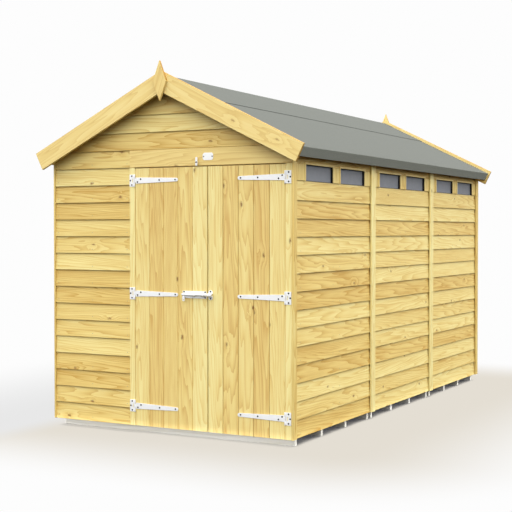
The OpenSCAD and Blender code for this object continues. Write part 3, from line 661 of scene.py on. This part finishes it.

# %% Posts, rails, strips and barge boards
# A chosen tone, from 0 for pale to 1 for deep, goes to pieces whose tone stands out on the real shed.
# The deep tone of the window heads is painted shade under the eave, and the posts' middle tone is partly
# painted shade.
for node in ("front_frame", "back_frame", "left_frame", "right_frame", "roof_bars_left", "roof_bars_right"):
    timber(node, "shed", "pine_framing", frame_pine)
timber("left_door_bracing", "left_door", "pine_framing", frame_pine)
timber("right_door_bracing", "right_door", "pine_framing", frame_pine)
timber("floor_bearers", "shed", "bearer_timber", bearer_pine)
# Trim whose ends and top edges take the darker finish, partly end grain and partly painted shade.
timber("door_lintel", "shed", "pine_trim", trim_pine, ends=end_grain_and_shade_pine)
timber("door_jambs", "shed", "pine_trim", door_pine, ends=end_grain_and_shade_pine, chosen_tone=0)
timber("corner_strips", "shed", "pine_trim", cladding_pine, ends=end_grain_and_shade_pine, chosen_tone=0.65)
timber("cover_strips", "shed", "pine_trim", door_pine, ends=end_grain_and_shade_pine, chosen_tone=0)
for end in ("front", "back"):
    timber(f"{end}_finial", "shed", "pine_trim", trim_pine, ends=end_grain_and_shade_pine)
    for side in ("left", "right"):
        timber(f"{end}_barge_{side}", "shed", "pine_trim", trim_pine, ends=end_grain_and_shade_pine, chosen_tone=0.4)
# Window heads: a deep tone as painted shade under the eave. Window posts: a middle tone, partly painted
# shade.
timber("window_heads", "shed", "pine_boards", cladding_pine, chosen_tone=0.85)
timber("window_posts", "shed", "pine_boards", cladding_pine, upright=True, chosen_tone=0.45)
print("timber pieces:", len(pieces))

# %% [markdown]
# ## Rows of boards
# Walls, doors, floor and roof are all the same idea: one board, set down again and again with a fixed
# step. A small Geometry Nodes tree does that. It lays points along a line, puts the board on each, and
# gives every copy its own tone and its own shift of the grain from a fixed seed, so no two boards look
# cut from one plank. The result is turned into a plain mesh, because the exported model cannot carry live
# instances.

# %% The tree for rows of boards
def new_tree(name, sockets):
    """An empty Geometry Nodes tree with named inputs and one geometry going in and out."""
    tree = bpy.data.node_groups.new(name, "GeometryNodeTree")
    tree.interface.new_socket("Geometry", in_out="INPUT", socket_type="NodeSocketGeometry")
    for label, kind in sockets.items():
        tree.interface.new_socket(label, in_out="INPUT", socket_type="NodeSocket" + kind)
    tree.interface.new_socket("Geometry", in_out="OUTPUT", socket_type="NodeSocketGeometry")
    return tree, add(tree, "NodeGroupInput").outputs


row_tree, given = new_tree(
    "board_row", {"Count": "Int", "Step": "Vector", "Seed": "Int", "Material": "Material"},
)
line = add(row_tree, "GeometryNodeMeshLine", {"Count": given["Count"], "Offset": given["Step"]})
copies = add(
    row_tree, "GeometryNodeInstanceOnPoints", {"Points": line.outputs[0], "Instance": given["Geometry"]},
)
tone_roll = add(row_tree, "FunctionNodeRandomValue", {"Seed": given["Seed"]}, data_type="FLOAT")
toned = add(
    row_tree, "GeometryNodeStoreNamedAttribute",
    {"Geometry": copies.outputs[0], "Name": "tone", "Value": tone_roll.outputs[1]},
    data_type="FLOAT", domain="INSTANCE",
)
shift_roll = add(
    row_tree, "FunctionNodeRandomValue", {0: SHIFT_LOW, 1: SHIFT_HIGH, "Seed": given["Seed"]},
    data_type="FLOAT_VECTOR",
)
shifted = add(
    row_tree, "GeometryNodeStoreNamedAttribute",
    {"Geometry": toned.outputs[0], "Name": "shift", "Value": shift_roll.outputs[0]},
    data_type="FLOAT_VECTOR", domain="INSTANCE",
)
solid = add(row_tree, "GeometryNodeRealizeInstances", {0: shifted.outputs[0]})
painted = add(
    row_tree, "GeometryNodeSetMaterial", {"Geometry": solid.outputs[0], "Material": given["Material"]},
)
add(row_tree, "NodeGroupOutput", {0: painted.outputs[0]})
print("board_row:", len(row_tree.nodes), "nodes")

# %% One board, and a row of it
def grow(mesh, tree, **values):
    """Runs a tree on a mesh and returns what it makes as a plain mesh."""
    holder = bpy.data.objects.new("grow", mesh)
    scene.collection.objects.link(holder)
    modifier = holder.modifiers.new("grow", "NODES")
    modifier.node_group = tree
    for item in tree.interface.items_tree:
        if item.in_out == "INPUT" and item.name in values:
            modifier[item.identifier] = values[item.name]
    depsgraph = bpy.context.evaluated_depsgraph_get()
    made = bpy.data.meshes.new_from_object(
        holder.evaluated_get(depsgraph), preserve_all_data_layers=True, depsgraph=depsgraph,
    )
    holder.modifiers.remove(modifier)
    bpy.data.objects.remove(holder)
    return made


def board(outline, run, across):
    """One board as a mesh: an outline of points pushed along a run, with its grain place on every point."""
    shape = bmesh.new()
    first = [shape.verts.new(p) for p in outline]
    last = [shape.verts.new(Vector(p) + run) for p in outline]
    shape.faces.new(first)
    shape.faces.new(last[::-1])
    for k in range(len(outline)):
        shape.faces.new((first[k - 1], first[k], last[k], last[k - 1]))
    bmesh.ops.recalc_face_normals(shape, faces=shape.faces)
    along = run.normalized()
    through = along.cross(across)
    mesh = bpy.data.meshes.new("board")
    shape.to_mesh(mesh)
    shape.free()
    layer = mesh.attributes.new("grain", "FLOAT_VECTOR", "POINT")
    origin = Vector(outline[0])
    for k, v in enumerate(mesh.vertices):
        p = v.co - origin
        layer.data[k].vector = (p.dot(along), p.dot(across), p.dot(through))
    return mesh


def row(one, count, step, seed, material):
    """A row of boards as one plain mesh."""
    return grow(one, row_tree, Count=count, Step=step, Seed=seed, Material=material)


print("board rows ready")

# %% [markdown]
# ## Lapped wall boards
# The walls are clad in overlapping boards. Each board leans out toward its lower edge, which hangs 9 mm
# proud of the board below and throws the thin dark line that draws the wall. The lower edge is rounded
# over. On the gables the boards run past the roof line and are then sawn off along the slope, as the
# joiner does it. The front and the right wall get their tones from short lists that repeat, so that pale
# and deep boards follow each other as they do on the real shed. The other walls keep the tones that the
# tree draws.

# %% The section of a lapped board, sawing and tones
BOARD = 112.5 * MM
DEPTH = 18 * MM
LAP = 9 * MM
NOSE = 2.5 * MM
GAP = 0.4 * MM
PITCH = math.radians(26.2)


def lap_outline(height):
    """Section of a lapped board: distance out from the frame, and height."""
    lean = LAP / height
    return [
        (0, 0), (DEPTH - NOSE, 0), (DEPTH - 0.3 * NOSE, 0.25 * NOSE), (DEPTH - lean * NOSE, NOSE),
        (DEPTH - lean * (height - GAP), height - GAP), (0, height - GAP),
    ]


def slope(side):
    """The direction down a roof slope, and the one straight out of it."""
    down = Vector((side * math.cos(PITCH), 0, -math.sin(PITCH)))
    out = Vector((side * math.sin(PITCH), 0, math.cos(PITCH)))
    return down, out


def saw(mesh, cuts):
    """Saws boards off along planes, each a point and the direction that falls away, and closes the cuts."""
    shape = bmesh.new()
    shape.from_mesh(mesh)
    for point, away in cuts:
        cut = bmesh.ops.bisect_plane(
            shape, geom=shape.verts[:] + shape.edges[:] + shape.faces[:], dist=1e-6, plane_co=point,
            plane_no=away, clear_outer=True,
        )
        rim = [g for g in cut["geom_cut"] if isinstance(g, bmesh.types.BMEdge)]
        bmesh.ops.holes_fill(shape, edges=rim, sides=0)
    bmesh.ops.recalc_face_normals(shape, faces=shape.faces)
    shape.to_mesh(mesh)
    shape.free()


def set_tones(mesh, tones):
    """Gives each board of a row a chosen tone, from 0 for pale to 1 for deep."""
    points = len(mesh.vertices) // len(tones)
    mesh.attributes["tone"].data.foreach_set("value", [tone for tone in tones for _ in range(points)])


print("lapped board section:", len(lap_outline(BOARD)), "points")

# %% Lapped wall boards
PANELS = 3
TOP_SEED = 4  # the top board of a panel is a row of its own, with its own seed
HALF_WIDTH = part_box("right_cladding")[1].x
WALL_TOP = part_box("left_cladding")[1].z
PALE, MIDDLING, DEEP = 0.2, 0.5, 0.82
DEEPER_MIX = (MIDDLING, DEEP, DEEP, PALE)
PALER_MIX = (MIDDLING, PALE, DEEP, PALE)


def side_wall(node, out, seed, mixes=None):
    """Both rows of each panel of a side wall: the even boards, and the taller one at the top. A mix of tones
    for each panel repeats from the top board down."""
    low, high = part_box(node)
    face = high.x - DEPTH if out > 0 else low.x + DEPTH
    panel = (high.y - low.y + GAP) / PANELS
    count = int((high.z - low.z) / BOARD + 0.5)
    top = high.z - low.z - (count - 1) * BOARD
    rows = (("", BOARD, low.z, count - 1, 0), ("_top", top, low.z + (count - 1) * BOARD, 1, TOP_SEED))
    for k in range(PANELS):
        start = low.y + k * panel
        run = (panel - GAP) * Y
        for tag, height, base, number, extra in rows:
            outline = [(face + out * d, start, base + z) for d, z in lap_outline(height)]
            mesh = row(board(outline, run, Z), number, BOARD * Z, seed + 10 * k + extra, cladding_pine)
            if mixes:
                mix = mixes[k]
                set_tones(mesh, mix[:1] if tag else [mix[(number - j) % len(mix)] for j in range(number)])
            show(f"{node}_{k + 1}{tag}", mesh, "shed", "pine_boards", node)


def gable_wall(node, out, seed, sloped=True, mix=None):
    """A gable wall's boards, counted from the node's box, with tones that repeat from the top board down."""
    low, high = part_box(node)
    face = high.y - DEPTH if out > 0 else low.y + DEPTH
    count = int((high.z - low.z) / BOARD + 0.5)
    outline = [(low.x, face + out * d, low.z + z) for d, z in lap_outline(BOARD)]
    mesh = row(board(outline, (high.x - low.x) * X, Z), count, BOARD * Z, seed, cladding_pine)
    if mix:
        set_tones(mesh, [mix[(count - 1 - j) % len(mix)] for j in range(count)])
    if sloped:
        saw(mesh, [((side * HALF_WIDTH, 0, WALL_TOP), slope(side)[1]) for side in (-1, 1)])
    show(f"{node}_boards", mesh, "shed", "pine_boards", node)


side_wall("right_cladding", 1, 3, (DEEPER_MIX, PALER_MIX, PALER_MIX))
side_wall("left_cladding", -1, 40)
gable_wall("front_left_cladding", -1, 5, sloped=False, mix=(MIDDLING, PALE, DEEP, DEEP, MIDDLING))
gable_wall("front_gable_cladding", -1, 8, mix=(MIDDLING, MIDDLING, PALE, DEEP))
gable_wall("back_cladding", 1, 21)
print("wall boards:", sum(len(p.data.polygons) for n, p in pieces.items() if "cladding" in n), "faces")

# %% [markdown]
# ## Doors, floor and roof boards
# The doors are five upright boards each, with a V where two edges meet. A thin bead on each jamb closes
# the gap at the hinges, where a door only ever turns away from it. The floor boards run across the
# bearers, and the roof boards run down the slope over the purlins, where they show under the eaves and
# inside. All of them are the same row of boards with another outline.

# %% Door boards and the beads beside them
DOOR_BOARDS = 5
VEE_WIDE, VEE_DEEP = 2.5 * MM, 3.5 * MM
BEAD_NEAR, BEAD_FAR = 1 * MM, 5 * MM  # reach of a jamb's bead, from the edge of the door
BEAD_DEEP = 12 * MM


def door_leaf(name, seed, joint, tones):
    """Upright boards of one door, with the width of the open joint between them and a tone for each board."""
    low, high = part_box(name + "_boards")
    width = (high.x - low.x + joint) / DOOR_BOARDS
    far = width - joint
    back = high.y - low.y
    section = [
        (VEE_WIDE, 0), (far - VEE_WIDE, 0), (far, VEE_DEEP), (far, back - MM),
        (far - MM, back), (MM, back), (0, back - MM), (0, VEE_DEEP),
    ]
    outline = [(low.x + x, low.y + y, low.z) for x, y in section]
    mesh = row(board(outline, (high.z - low.z) * Z, X), DOOR_BOARDS, width * X, seed, door_pine)
    set_tones(mesh, tones)
    show(name + "_planks", mesh, name, "pine_boards", name + "_boards")


door_leaf("left_door", 12, 0.4 * MM, (0.30, 0.85, 0.70, 0.60, 0.08))
door_leaf("right_door", 31, 2.4 * MM, (0.30, 0.72, 0.52, 0.85, 0.28))
for seed, (tag, side) in enumerate((("left", -1), ("right", 1))):
    low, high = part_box(f"{tag}_door_boards")
    door_edge = low.x if side < 0 else high.x
    inner = door_edge + side * BEAD_NEAR
    outer = door_edge + side * BEAD_FAR
    section = [(inner + side * MM, 0), (outer, 0), (outer, BEAD_DEEP), (inner, BEAD_DEEP), (inner, MM)]
    outline = [(x, low.y + y, low.z) for x, y in section]
    mesh = row(board(outline, (high.z - low.z) * Z, X), 1, X, seed, trim_pine)
    show(f"{tag}_door_bead", mesh, "shed", "pine_trim")
print("doors:", 2 * DOOR_BOARDS, "boards")

# %% Floor boards
FLOOR_BOARDS = 16
for seed, part in ((2, "front"), (5, "middle"), (9, "back")):
    low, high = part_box(f"floor_{part}")
    width = (high.x - low.x) / FLOOR_BOARDS
    thick = high.z - low.z
    section = [
        (GAP, 0), (width - GAP, 0), (width - GAP, thick - MM),
        (width - GAP - MM, thick), (GAP + MM, thick), (GAP, thick - MM),
    ]
    outline = [(low.x + x, low.y, low.z + z) for x, z in section]
    mesh = row(board(outline, (high.y - low.y) * Y, X), FLOOR_BOARDS, width * X, seed, frame_pine)
    show(f"floor_{part}_boards", mesh, "shed", "pine_framing", f"floor_{part}")
print("floor:", 3 * FLOOR_BOARDS, "boards")

# %% Roof boards
DECK_BOARDS = 34
DECK_THICK = 12 * MM
DECK_SPARE = 20 * MM  # each board runs past the ridge and is sawn off there
DECK_SEED = 7
for side, tag in ((-1, "left"), (1, "right")):
    low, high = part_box(f"roof_deck_{tag}")
    width = (high.y - low.y) / DECK_BOARDS
    down, up = slope(side)
    eave = high if side > 0 else low
    edge = Vector((eave.x, low.y, low.z)) - Vector((side * DECK_THICK * math.sin(PITCH), 0, 0))
    length = abs(edge.x) / math.cos(PITCH) + DECK_SPARE
    section = [
        (GAP, MM), (GAP + MM, 0), (width - GAP - MM, 0), (width - GAP, MM),
        (width - GAP, DECK_THICK), (GAP, DECK_THICK),
    ]
    outline = [edge + Y * y + up * z for y, z in section]
    mesh = row(board(outline, -down * length, Y), DECK_BOARDS, width * Y, DECK_SEED + side, frame_pine)
    saw(mesh, [((side * GAP / 2, 0, 0), (-side, 0, 0))])
    show(f"roof_deck_{tag}_boards", mesh, "shed", "pine_framing", f"roof_deck_{tag}")
print("pieces so far:", len(pieces))

# %% [markdown]
# ## Felt and ironwork
# Felt sheets and steel fittings keep the CAD shape. The felt bends round the eave with a soft fold, and
# the turned-down band is painted a shade paler than the slope, as painted light. The edges of the steel are
# only broken a little, so that light catches them. The panes are right as they are and only get their
# finish.

# %% Felt
FOLD = 3 * MM
FOLD_NEAR = 0.2 * MM  # points this close to the sheet's outer edge belong to the fold
FOLD_AREA = 0.02  # only the narrow faces of the fold are shaded round, so slope and band stay flat up to it
BAND_FACING = 0.7  # a face turned this far down the slope belongs to the band


def plated(node, body, slot, material, easing):
    """A CAD node with its edges broken, in another finish than timber."""
    shape = clean_copy(node)
    ease(shape, easing, segments=2, corner=40)
    return show(node + "_made", finish_mesh(shape, node + "_made", material), body, slot, node)


for side, tag in ((-1, "left"), (1, "right")):
    shape = clean_copy(f"felt_{tag}")
    edge = max(side * v.co.x for v in shape.verts)
    fold = [e for e in shape.edges if all(abs(side * v.co.x - edge) < FOLD_NEAR for v in e.verts)]
    bmesh.ops.bevel(
        shape, geom=fold, offset=FOLD, offset_type="OFFSET", segments=4, profile=0.5, affect="EDGES",
    )
    ease(shape, 0.5 * MM, segments=1, corner=60)
    down = slope(side)[0]
    for face in shape.faces:
        face.smooth = face.calc_area() < FOLD_AREA
        # Faces turned down the slope form the band, which takes the felt painted paler as painted light.
        face.material_index = int(face.normal.dot(down) > BAND_FACING)
    mesh = finish_mesh(shape, f"felt_{tag}_sheet", roof_felt, 60)
    mesh.materials.append(felt_band_painted_light)
    show(f"felt_{tag}_sheet", mesh, "shed", "roof_felt", f"felt_{tag}")
plated("felt_ridge", "shed", "roof_felt", roof_felt, 0.7 * MM)
print("felt:", [n for n in pieces if "felt" in n])

# %% Ironwork and panes
STEEL_EDGE, BUTTON_EDGE = 0.4 * MM, 0.6 * MM
for side in ("left", "right"):
    plated(f"{side}_hinge_plates", "shed", "zinc_hardware", zinc, STEEL_EDGE)
    plated(f"{side}_hinge_straps", f"{side}_door", "zinc_hardware", zinc, STEEL_EDGE)
plated("bolt_plate", "left_door", "zinc_hardware", zinc, STEEL_EDGE)
plated("bolt_bar", "bolt", "zinc_hardware", zinc, STEEL_EDGE)
plated("bolt_keep", "right_door", "zinc_hardware", zinc, STEEL_EDGE)
plated("turn_button", "turn_button", "zinc_hardware", zinc, BUTTON_EDGE)

pane_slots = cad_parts["window_glass"].data.materials
pane_slots.clear()
pane_slots.append(glazing)
print("fittings:", [n for n in pieces if n.endswith("_made")])

# %% [markdown]
# ## Screws and nails
# Small fixings repeat by the dozen, so a second tree sets one head on every point of a list and turns
# each by a random angle, as a hand with a screwdriver leaves them. A screw head is a low dome that is
# sunk in the middle, where the driver goes. A nail head is a small flat disc. One mesh is made for each
# group and body, so that a door's screws swing with the door.

# %% The tree that sets heads
set_tree, given = new_tree(
    "set_heads", {"Head": "Object", "Facing": "Rotation", "Seed": "Int", "Material": "Material"},
)
head = add(set_tree, "GeometryNodeObjectInfo", {"Object": given["Head"]})
roll = add(
    set_tree, "FunctionNodeRandomValue", {2: 0.0, 3: math.tau, "Seed": given["Seed"]}, data_type="FLOAT",
)
spin = add(set_tree, "ShaderNodeCombineXYZ", {"Z": roll.outputs[1]})
spin_turn = add(set_tree, "FunctionNodeEulerToRotation", {0: spin.outputs[0]})
turned = add(
    set_tree, "FunctionNodeRotateRotation", {0: given["Facing"], 1: spin_turn.outputs[0]},
    rotation_space="LOCAL",
)
heads = add(
    set_tree, "GeometryNodeInstanceOnPoints",
    {"Points": given["Geometry"], "Instance": head.outputs["Geometry"], "Rotation": turned.outputs[0]},
)
solid = add(set_tree, "GeometryNodeRealizeInstances", {0: heads.outputs[0]})
painted = add(
    set_tree, "GeometryNodeSetMaterial", {"Geometry": solid.outputs[0], "Material": given["Material"]},
)
add(set_tree, "NodeGroupOutput", {0: painted.outputs[0]})
print("set_heads:", len(set_tree.nodes), "nodes")

# %% Heads
FACING = {"front": (90, 0, 0), "back": (-90, 0, 0), "right": (0, 90, 0), "left": (0, -90, 0)}


def turned_head(name, rings, sides):
    """A head turned round its axis from rings of radius and height in millimetres, the last one a point."""
    shape = bmesh.new()
    angles = [k * math.tau / sides for k in range(sides)]
    loops = []
    for radius, height in rings[:-1]:
        wide, up = radius * MM, height * MM
        loops.append([shape.verts.new((wide * math.cos(a), wide * math.sin(a), up)) for a in angles])
    tip = shape.verts.new((0, 0, rings[-1][1] * MM))
    shape.faces.new(loops[0][::-1])
    for lower, upper in zip(loops, loops[1:]):
        for k in range(sides):
            shape.faces.new((lower[k - 1], lower[k], upper[k], upper[k - 1]))
    for k in range(sides):
        shape.faces.new((loops[-1][k - 1], loops[-1][k], tip))
    bmesh.ops.recalc_face_normals(shape, faces=shape.faces)
    mesh = bpy.data.meshes.new(name)
    shape.to_mesh(mesh)
    shape.free()
    holder = bpy.data.objects.new(name, mesh)
    scene.collection.objects.link(holder)
    return holder


def set_heads(name, body, points, facing, head_piece, material, seed):
    """Sets a head on every point and shows them as one piece on a body."""
    dots = bpy.data.meshes.new(name)
    dots.from_pydata(points, [], [])
    facing_turn = [math.radians(a) for a in FACING[facing]]
    mesh = grow(dots, set_tree, Head=head_piece, Facing=facing_turn, Seed=seed, Material=material)
    return show(name, mesh, body, "zinc_hardware")


screw_head = turned_head("screw_head", [(5.8, -0.3), (5.2, 0.9), (2.4, 1.3), (0, 0.1)], 10)
small_screw = turned_head("small_screw", [(4.4, -0.3), (4.0, 0.6), (2.0, 0.9), (0, 0.1)], 10)
nail_head = turned_head("nail_head", [(2.8, -0.3), (2.4, 0.35), (0, 0.45)], 8)
print("heads:", screw_head.name, small_screw.name, nail_head.name)

# %% Screws
STEEL_THICK = 2.5 * MM
HINGE_HALF = 39.5 * MM  # from the end of a hinge plate to its middle
PIN_IN = 40.5 * MM  # from a hinge plate's outer edge to its pin
PLATE_SCREWS = ((-23, 29), (-23, -29), (-34, 0))  # millimetres from the pin, and up
STRAP_SCREWS = ((21, -10), (46, 8), (190, 0), (311, 0))
BOLT_NEAR, BOLT_FAR, BOLT_UP = 10 * MM, 9 * MM, 6 * MM  # screws of the bolt's plate from its edges
KEEP_UP = 9 * MM
BUTTON_UP = 22 * MM
plate_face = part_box("bolt_plate")[1].y - STEEL_THICK
low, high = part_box("left_hinge_plates")
hinge_heights = (low.z + HINGE_HALF, (low.z + high.z) / 2, high.z - HINGE_HALF)
pins = {"left": (low.x + PIN_IN, 1), "right": (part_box("right_hinge_plates")[1].x - PIN_IN, -1)}
for seed, (side, (pin, way)) in enumerate(pins.items()):
    plates = [(pin + way * x * MM, plate_face, z + up * MM) for z in hinge_heights for x, up in PLATE_SCREWS]
    straps = [
        (pin + way * x * MM, plate_face, z + way * up * MM)
        for z in hinge_heights for x, up in STRAP_SCREWS
    ]
    set_heads(f"{side}_plate_screws", "shed", plates, "front", screw_head, screw_steel, seed)
    set_heads(f"{side}_strap_screws", f"{side}_door", straps, "front", screw_head, screw_steel, 10 + seed)

low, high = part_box("bolt_plate")
bolt_columns = (low.x + BOLT_NEAR, high.x - BOLT_FAR)
bolt_screws = [(x, plate_face, z) for x in bolt_columns for z in (low.z + BOLT_UP, high.z - BOLT_UP)]
set_heads("bolt_plate_screws", "left_door", bolt_screws, "front", screw_head, screw_steel, 20)
low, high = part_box("bolt_keep")
middle = (low.x + high.x) / 2
keep_screws = [(middle, plate_face, low.z + KEEP_UP), (middle, plate_face, high.z - KEEP_UP)]
set_heads("keep_screws", "right_door", keep_screws, "front", screw_head, screw_steel, 21)
low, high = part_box("turn_button")
button_screw = [((low.x + high.x) / 2, low.y, low.z + BUTTON_UP)]
set_heads("button_screw", "turn_button", button_screw, "front", screw_head, screw_steel, 22)
print("screws:", [n for n in pieces if "screw" in n])

# %% Nails
# Wall boards are nailed through the lower edge into every stud.
NAIL_UP = 26 * MM
NAIL_BESIDE, NAIL_FROM_END = 52 * MM, 68 * MM  # along a side wall, from a stud and from the wall's end
WALL_ROWS, ROWS_UNDER_GLASS = 16, 14
STUD_BAYS = 6
FRONT_LINES = (-875 * MM, -593 * MM, -312 * MM)
BACK_IN = 22 * MM
side_low, side_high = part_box("right_cladding")
STUD_STEP = (side_high.y - side_low.y + GAP) / STUD_BAYS
nail_out = DEPTH - LAP * NAIL_UP / BOARD
nail_heights = [side_low.z + k * BOARD + NAIL_UP for k in range(WALL_ROWS)]
studs = [side_low.y + STUD_STEP * k for k in range(STUD_BAYS + 1)]
nail_lines = [studs[0] + NAIL_FROM_END]
for stud in studs[1:-1]:
    nail_lines += [stud - NAIL_BESIDE, stud + NAIL_BESIDE]
nail_lines.append(studs[-1] - NAIL_FROM_END)
side_out = HALF_WIDTH - DEPTH + nail_out
right_nails = [(side_out, y, z) for y in nail_lines for z in nail_heights[:ROWS_UNDER_GLASS]]
left_nails = [(-side_out, y, z) for y in nail_lines for z in nail_heights]
front_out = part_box("front_left_cladding")[0].y + DEPTH - nail_out
front_nails = [(x, front_out, z) for x in FRONT_LINES for z in nail_heights]
back_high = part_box("back_cladding")[1]
back_out = back_high.y - DEPTH + nail_out
back_edge = back_high.x - BACK_IN
back_lines = (-back_edge, -back_edge / 3, back_edge / 3, back_edge)
back_nails = [(x, back_out, z) for x in back_lines for z in nail_heights]
set_heads("right_wall_nails", "shed", right_nails, "right", nail_head, nail_steel, 30)
set_heads("left_wall_nails", "shed", left_nails, "left", nail_head, nail_steel, 31)
set_heads("front_wall_nails", "shed", front_nails, "front", nail_head, nail_steel, 32)
set_heads("back_wall_nails", "shed", back_nails, "back", nail_head, nail_steel, 33)
print("nails:", len(right_nails) + len(left_nails) + len(front_nails) + len(back_nails))

# %% [markdown]
# ## Name plate and windows
# A small bare plate with cut corners hangs on the lintel. The panes sit at the back of their openings,
# and a black rubber lining covers the step round each one. The step lies in deep shade, so the black is
# partly a real seal and partly painted shade, the dark line that shows beside the glass. A thin wooden bead
# runs round each opening on the outside. It is again a row of boards, two to a panel.

# %% Name plate
PLATE_X, PLATE_Z = 307 * MM, 1794 * MM
PLATE_WIDE, PLATE_HIGH = 38 * MM, 23.5 * MM  # half its width and height
PLATE_CUT = 9.5 * MM
PLATE_THICK = 2 * MM
PLATE_SCREW = 31 * MM
near_x, near_z = PLATE_WIDE - PLATE_CUT, PLATE_HIGH - PLATE_CUT
octagon = [
    (PLATE_WIDE, near_z), (near_x, PLATE_HIGH), (-near_x, PLATE_HIGH), (-PLATE_WIDE, near_z),
    (-PLATE_WIDE, -near_z), (-near_x, -PLATE_HIGH), (near_x, -PLATE_HIGH), (PLATE_WIDE, -near_z),
]
lintel_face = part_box("door_lintel")[0].y
shape = bmesh.new()
back_face = shape.faces.new([shape.verts.new((PLATE_X + x, lintel_face, PLATE_Z + z)) for x, z in octagon])
pushed = bmesh.ops.extrude_face_region(shape, geom=[back_face])
front_points = [g for g in pushed["geom"] if isinstance(g, bmesh.types.BMVert)]
bmesh.ops.translate(shape, verts=front_points, vec=(0, -PLATE_THICK, 0))
bmesh.ops.recalc_face_normals(shape, faces=shape.faces)
ease(shape, 0.5 * MM)
show("name_plate", finish_mesh(shape, "name_plate", plate_enamel), "shed", "zinc_hardware")
plate_screws = [(PLATE_X + s * PLATE_SCREW, lintel_face - PLATE_THICK, PLATE_Z) for s in (-1, 1)]
set_heads("name_plate_screws", "shed", plate_screws, "front", small_screw, screw_steel, 40)
for used in (screw_head, small_screw, nail_head):
    bpy.data.objects.remove(used)
print("name plate", 2 * PLATE_WIDE, "by", 2 * PLATE_HIGH)

# %% Window seals, partly painted shade
GLASS_LAP = 10 * MM
SEAL = 1.6 * MM
SEAL_IN = 2 * MM  # the lining stops this far behind the face of the posts
PANE_MARGIN, PANE_POST = 136 * MM, 116 * MM
glass_low, glass_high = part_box("window_glass")
pane_low, pane_high = glass_low.z + GLASS_LAP, glass_high.z - GLASS_LAP
post_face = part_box("window_posts")[1].x
panel = 2 * STUD_STEP
pane_width = (panel - PANE_POST) / 2 - PANE_MARGIN
pane_step = pane_width + PANE_POST
pane_starts = [side_low.y + k * panel + PANE_MARGIN + n * pane_step for k in range(PANELS) for n in (0, 1)]
# The black lining runs over the whole depth of each step: partly a rubber seal, partly painted shade.
shape = bmesh.new()
for start in pane_starts:
    end = start + pane_width
    outer = [(start, pane_low), (end, pane_low), (end, pane_high), (start, pane_high)]
    inner = [
        (start + SEAL, pane_low + SEAL), (end - SEAL, pane_low + SEAL),
        (end - SEAL, pane_high - SEAL), (start + SEAL, pane_high - SEAL),
    ]
    depths = (glass_high.x, post_face - SEAL_IN)
    rings = [[shape.verts.new((x, y, z)) for y, z in ring] for x in depths for ring in (outer, inner)]
    for a, b in ((0, 1), (1, 3), (3, 2), (2, 0)):
        for k in range(4):
            shape.faces.new((rings[a][k - 1], rings[a][k], rings[b][k], rings[b][k - 1]))
show("window_seals", finish_mesh(shape, "window_seals", seal_and_reveal_shade), "shed", "window_glass")
print("panes:", len(pane_starts), "each", round(pane_width, 3), "m wide")

# %% Window beads
RIM_WIDE, RIM_PROUD = 13 * MM, 4 * MM
RIM_SET = 9 * MM  # the top wall board, on which the lower bead rests, lies this far behind the posts
RIM_SEED = 50
bead_runs = {
    "upright": (RIM_WIDE * Y, (pane_high - pane_low) * Z),
    "level": (RIM_WIDE * Z, (pane_width + 2 * RIM_WIDE) * Y),
}
section = [(0, 0), (RIM_PROUD - MM, 0), (RIM_PROUD, 0.1), (RIM_PROUD, 0.9), (RIM_PROUD - MM, 1), (0, 1)]
for group, (kind, far_side) in enumerate((("upright", 0), ("upright", 1), ("level", 0), ("level", 1))):
    across, run = bead_runs[kind]
    for k in range(PANELS):
        start = pane_starts[2 * k]
        if kind == "upright":
            corner = Vector((post_face, start + (pane_width if far_side else -RIM_WIDE), pane_low))
        elif far_side:
            corner = Vector((post_face, start - RIM_WIDE, pane_high))
        else:
            corner = Vector((post_face - RIM_SET, start - RIM_WIDE, pane_low - RIM_WIDE))
        outline = [corner + X * out + across * share for out, share in section]
        one = board(outline, run, across.normalized())
        mesh = row(one, 2, pane_step * Y, RIM_SEED + 10 * group + k, trim_pine)
        show(f"window_bead_{kind}_{far_side + 1}_{k + 1}", mesh, "shed", "pine_trim")
print("pieces:", len(pieces))
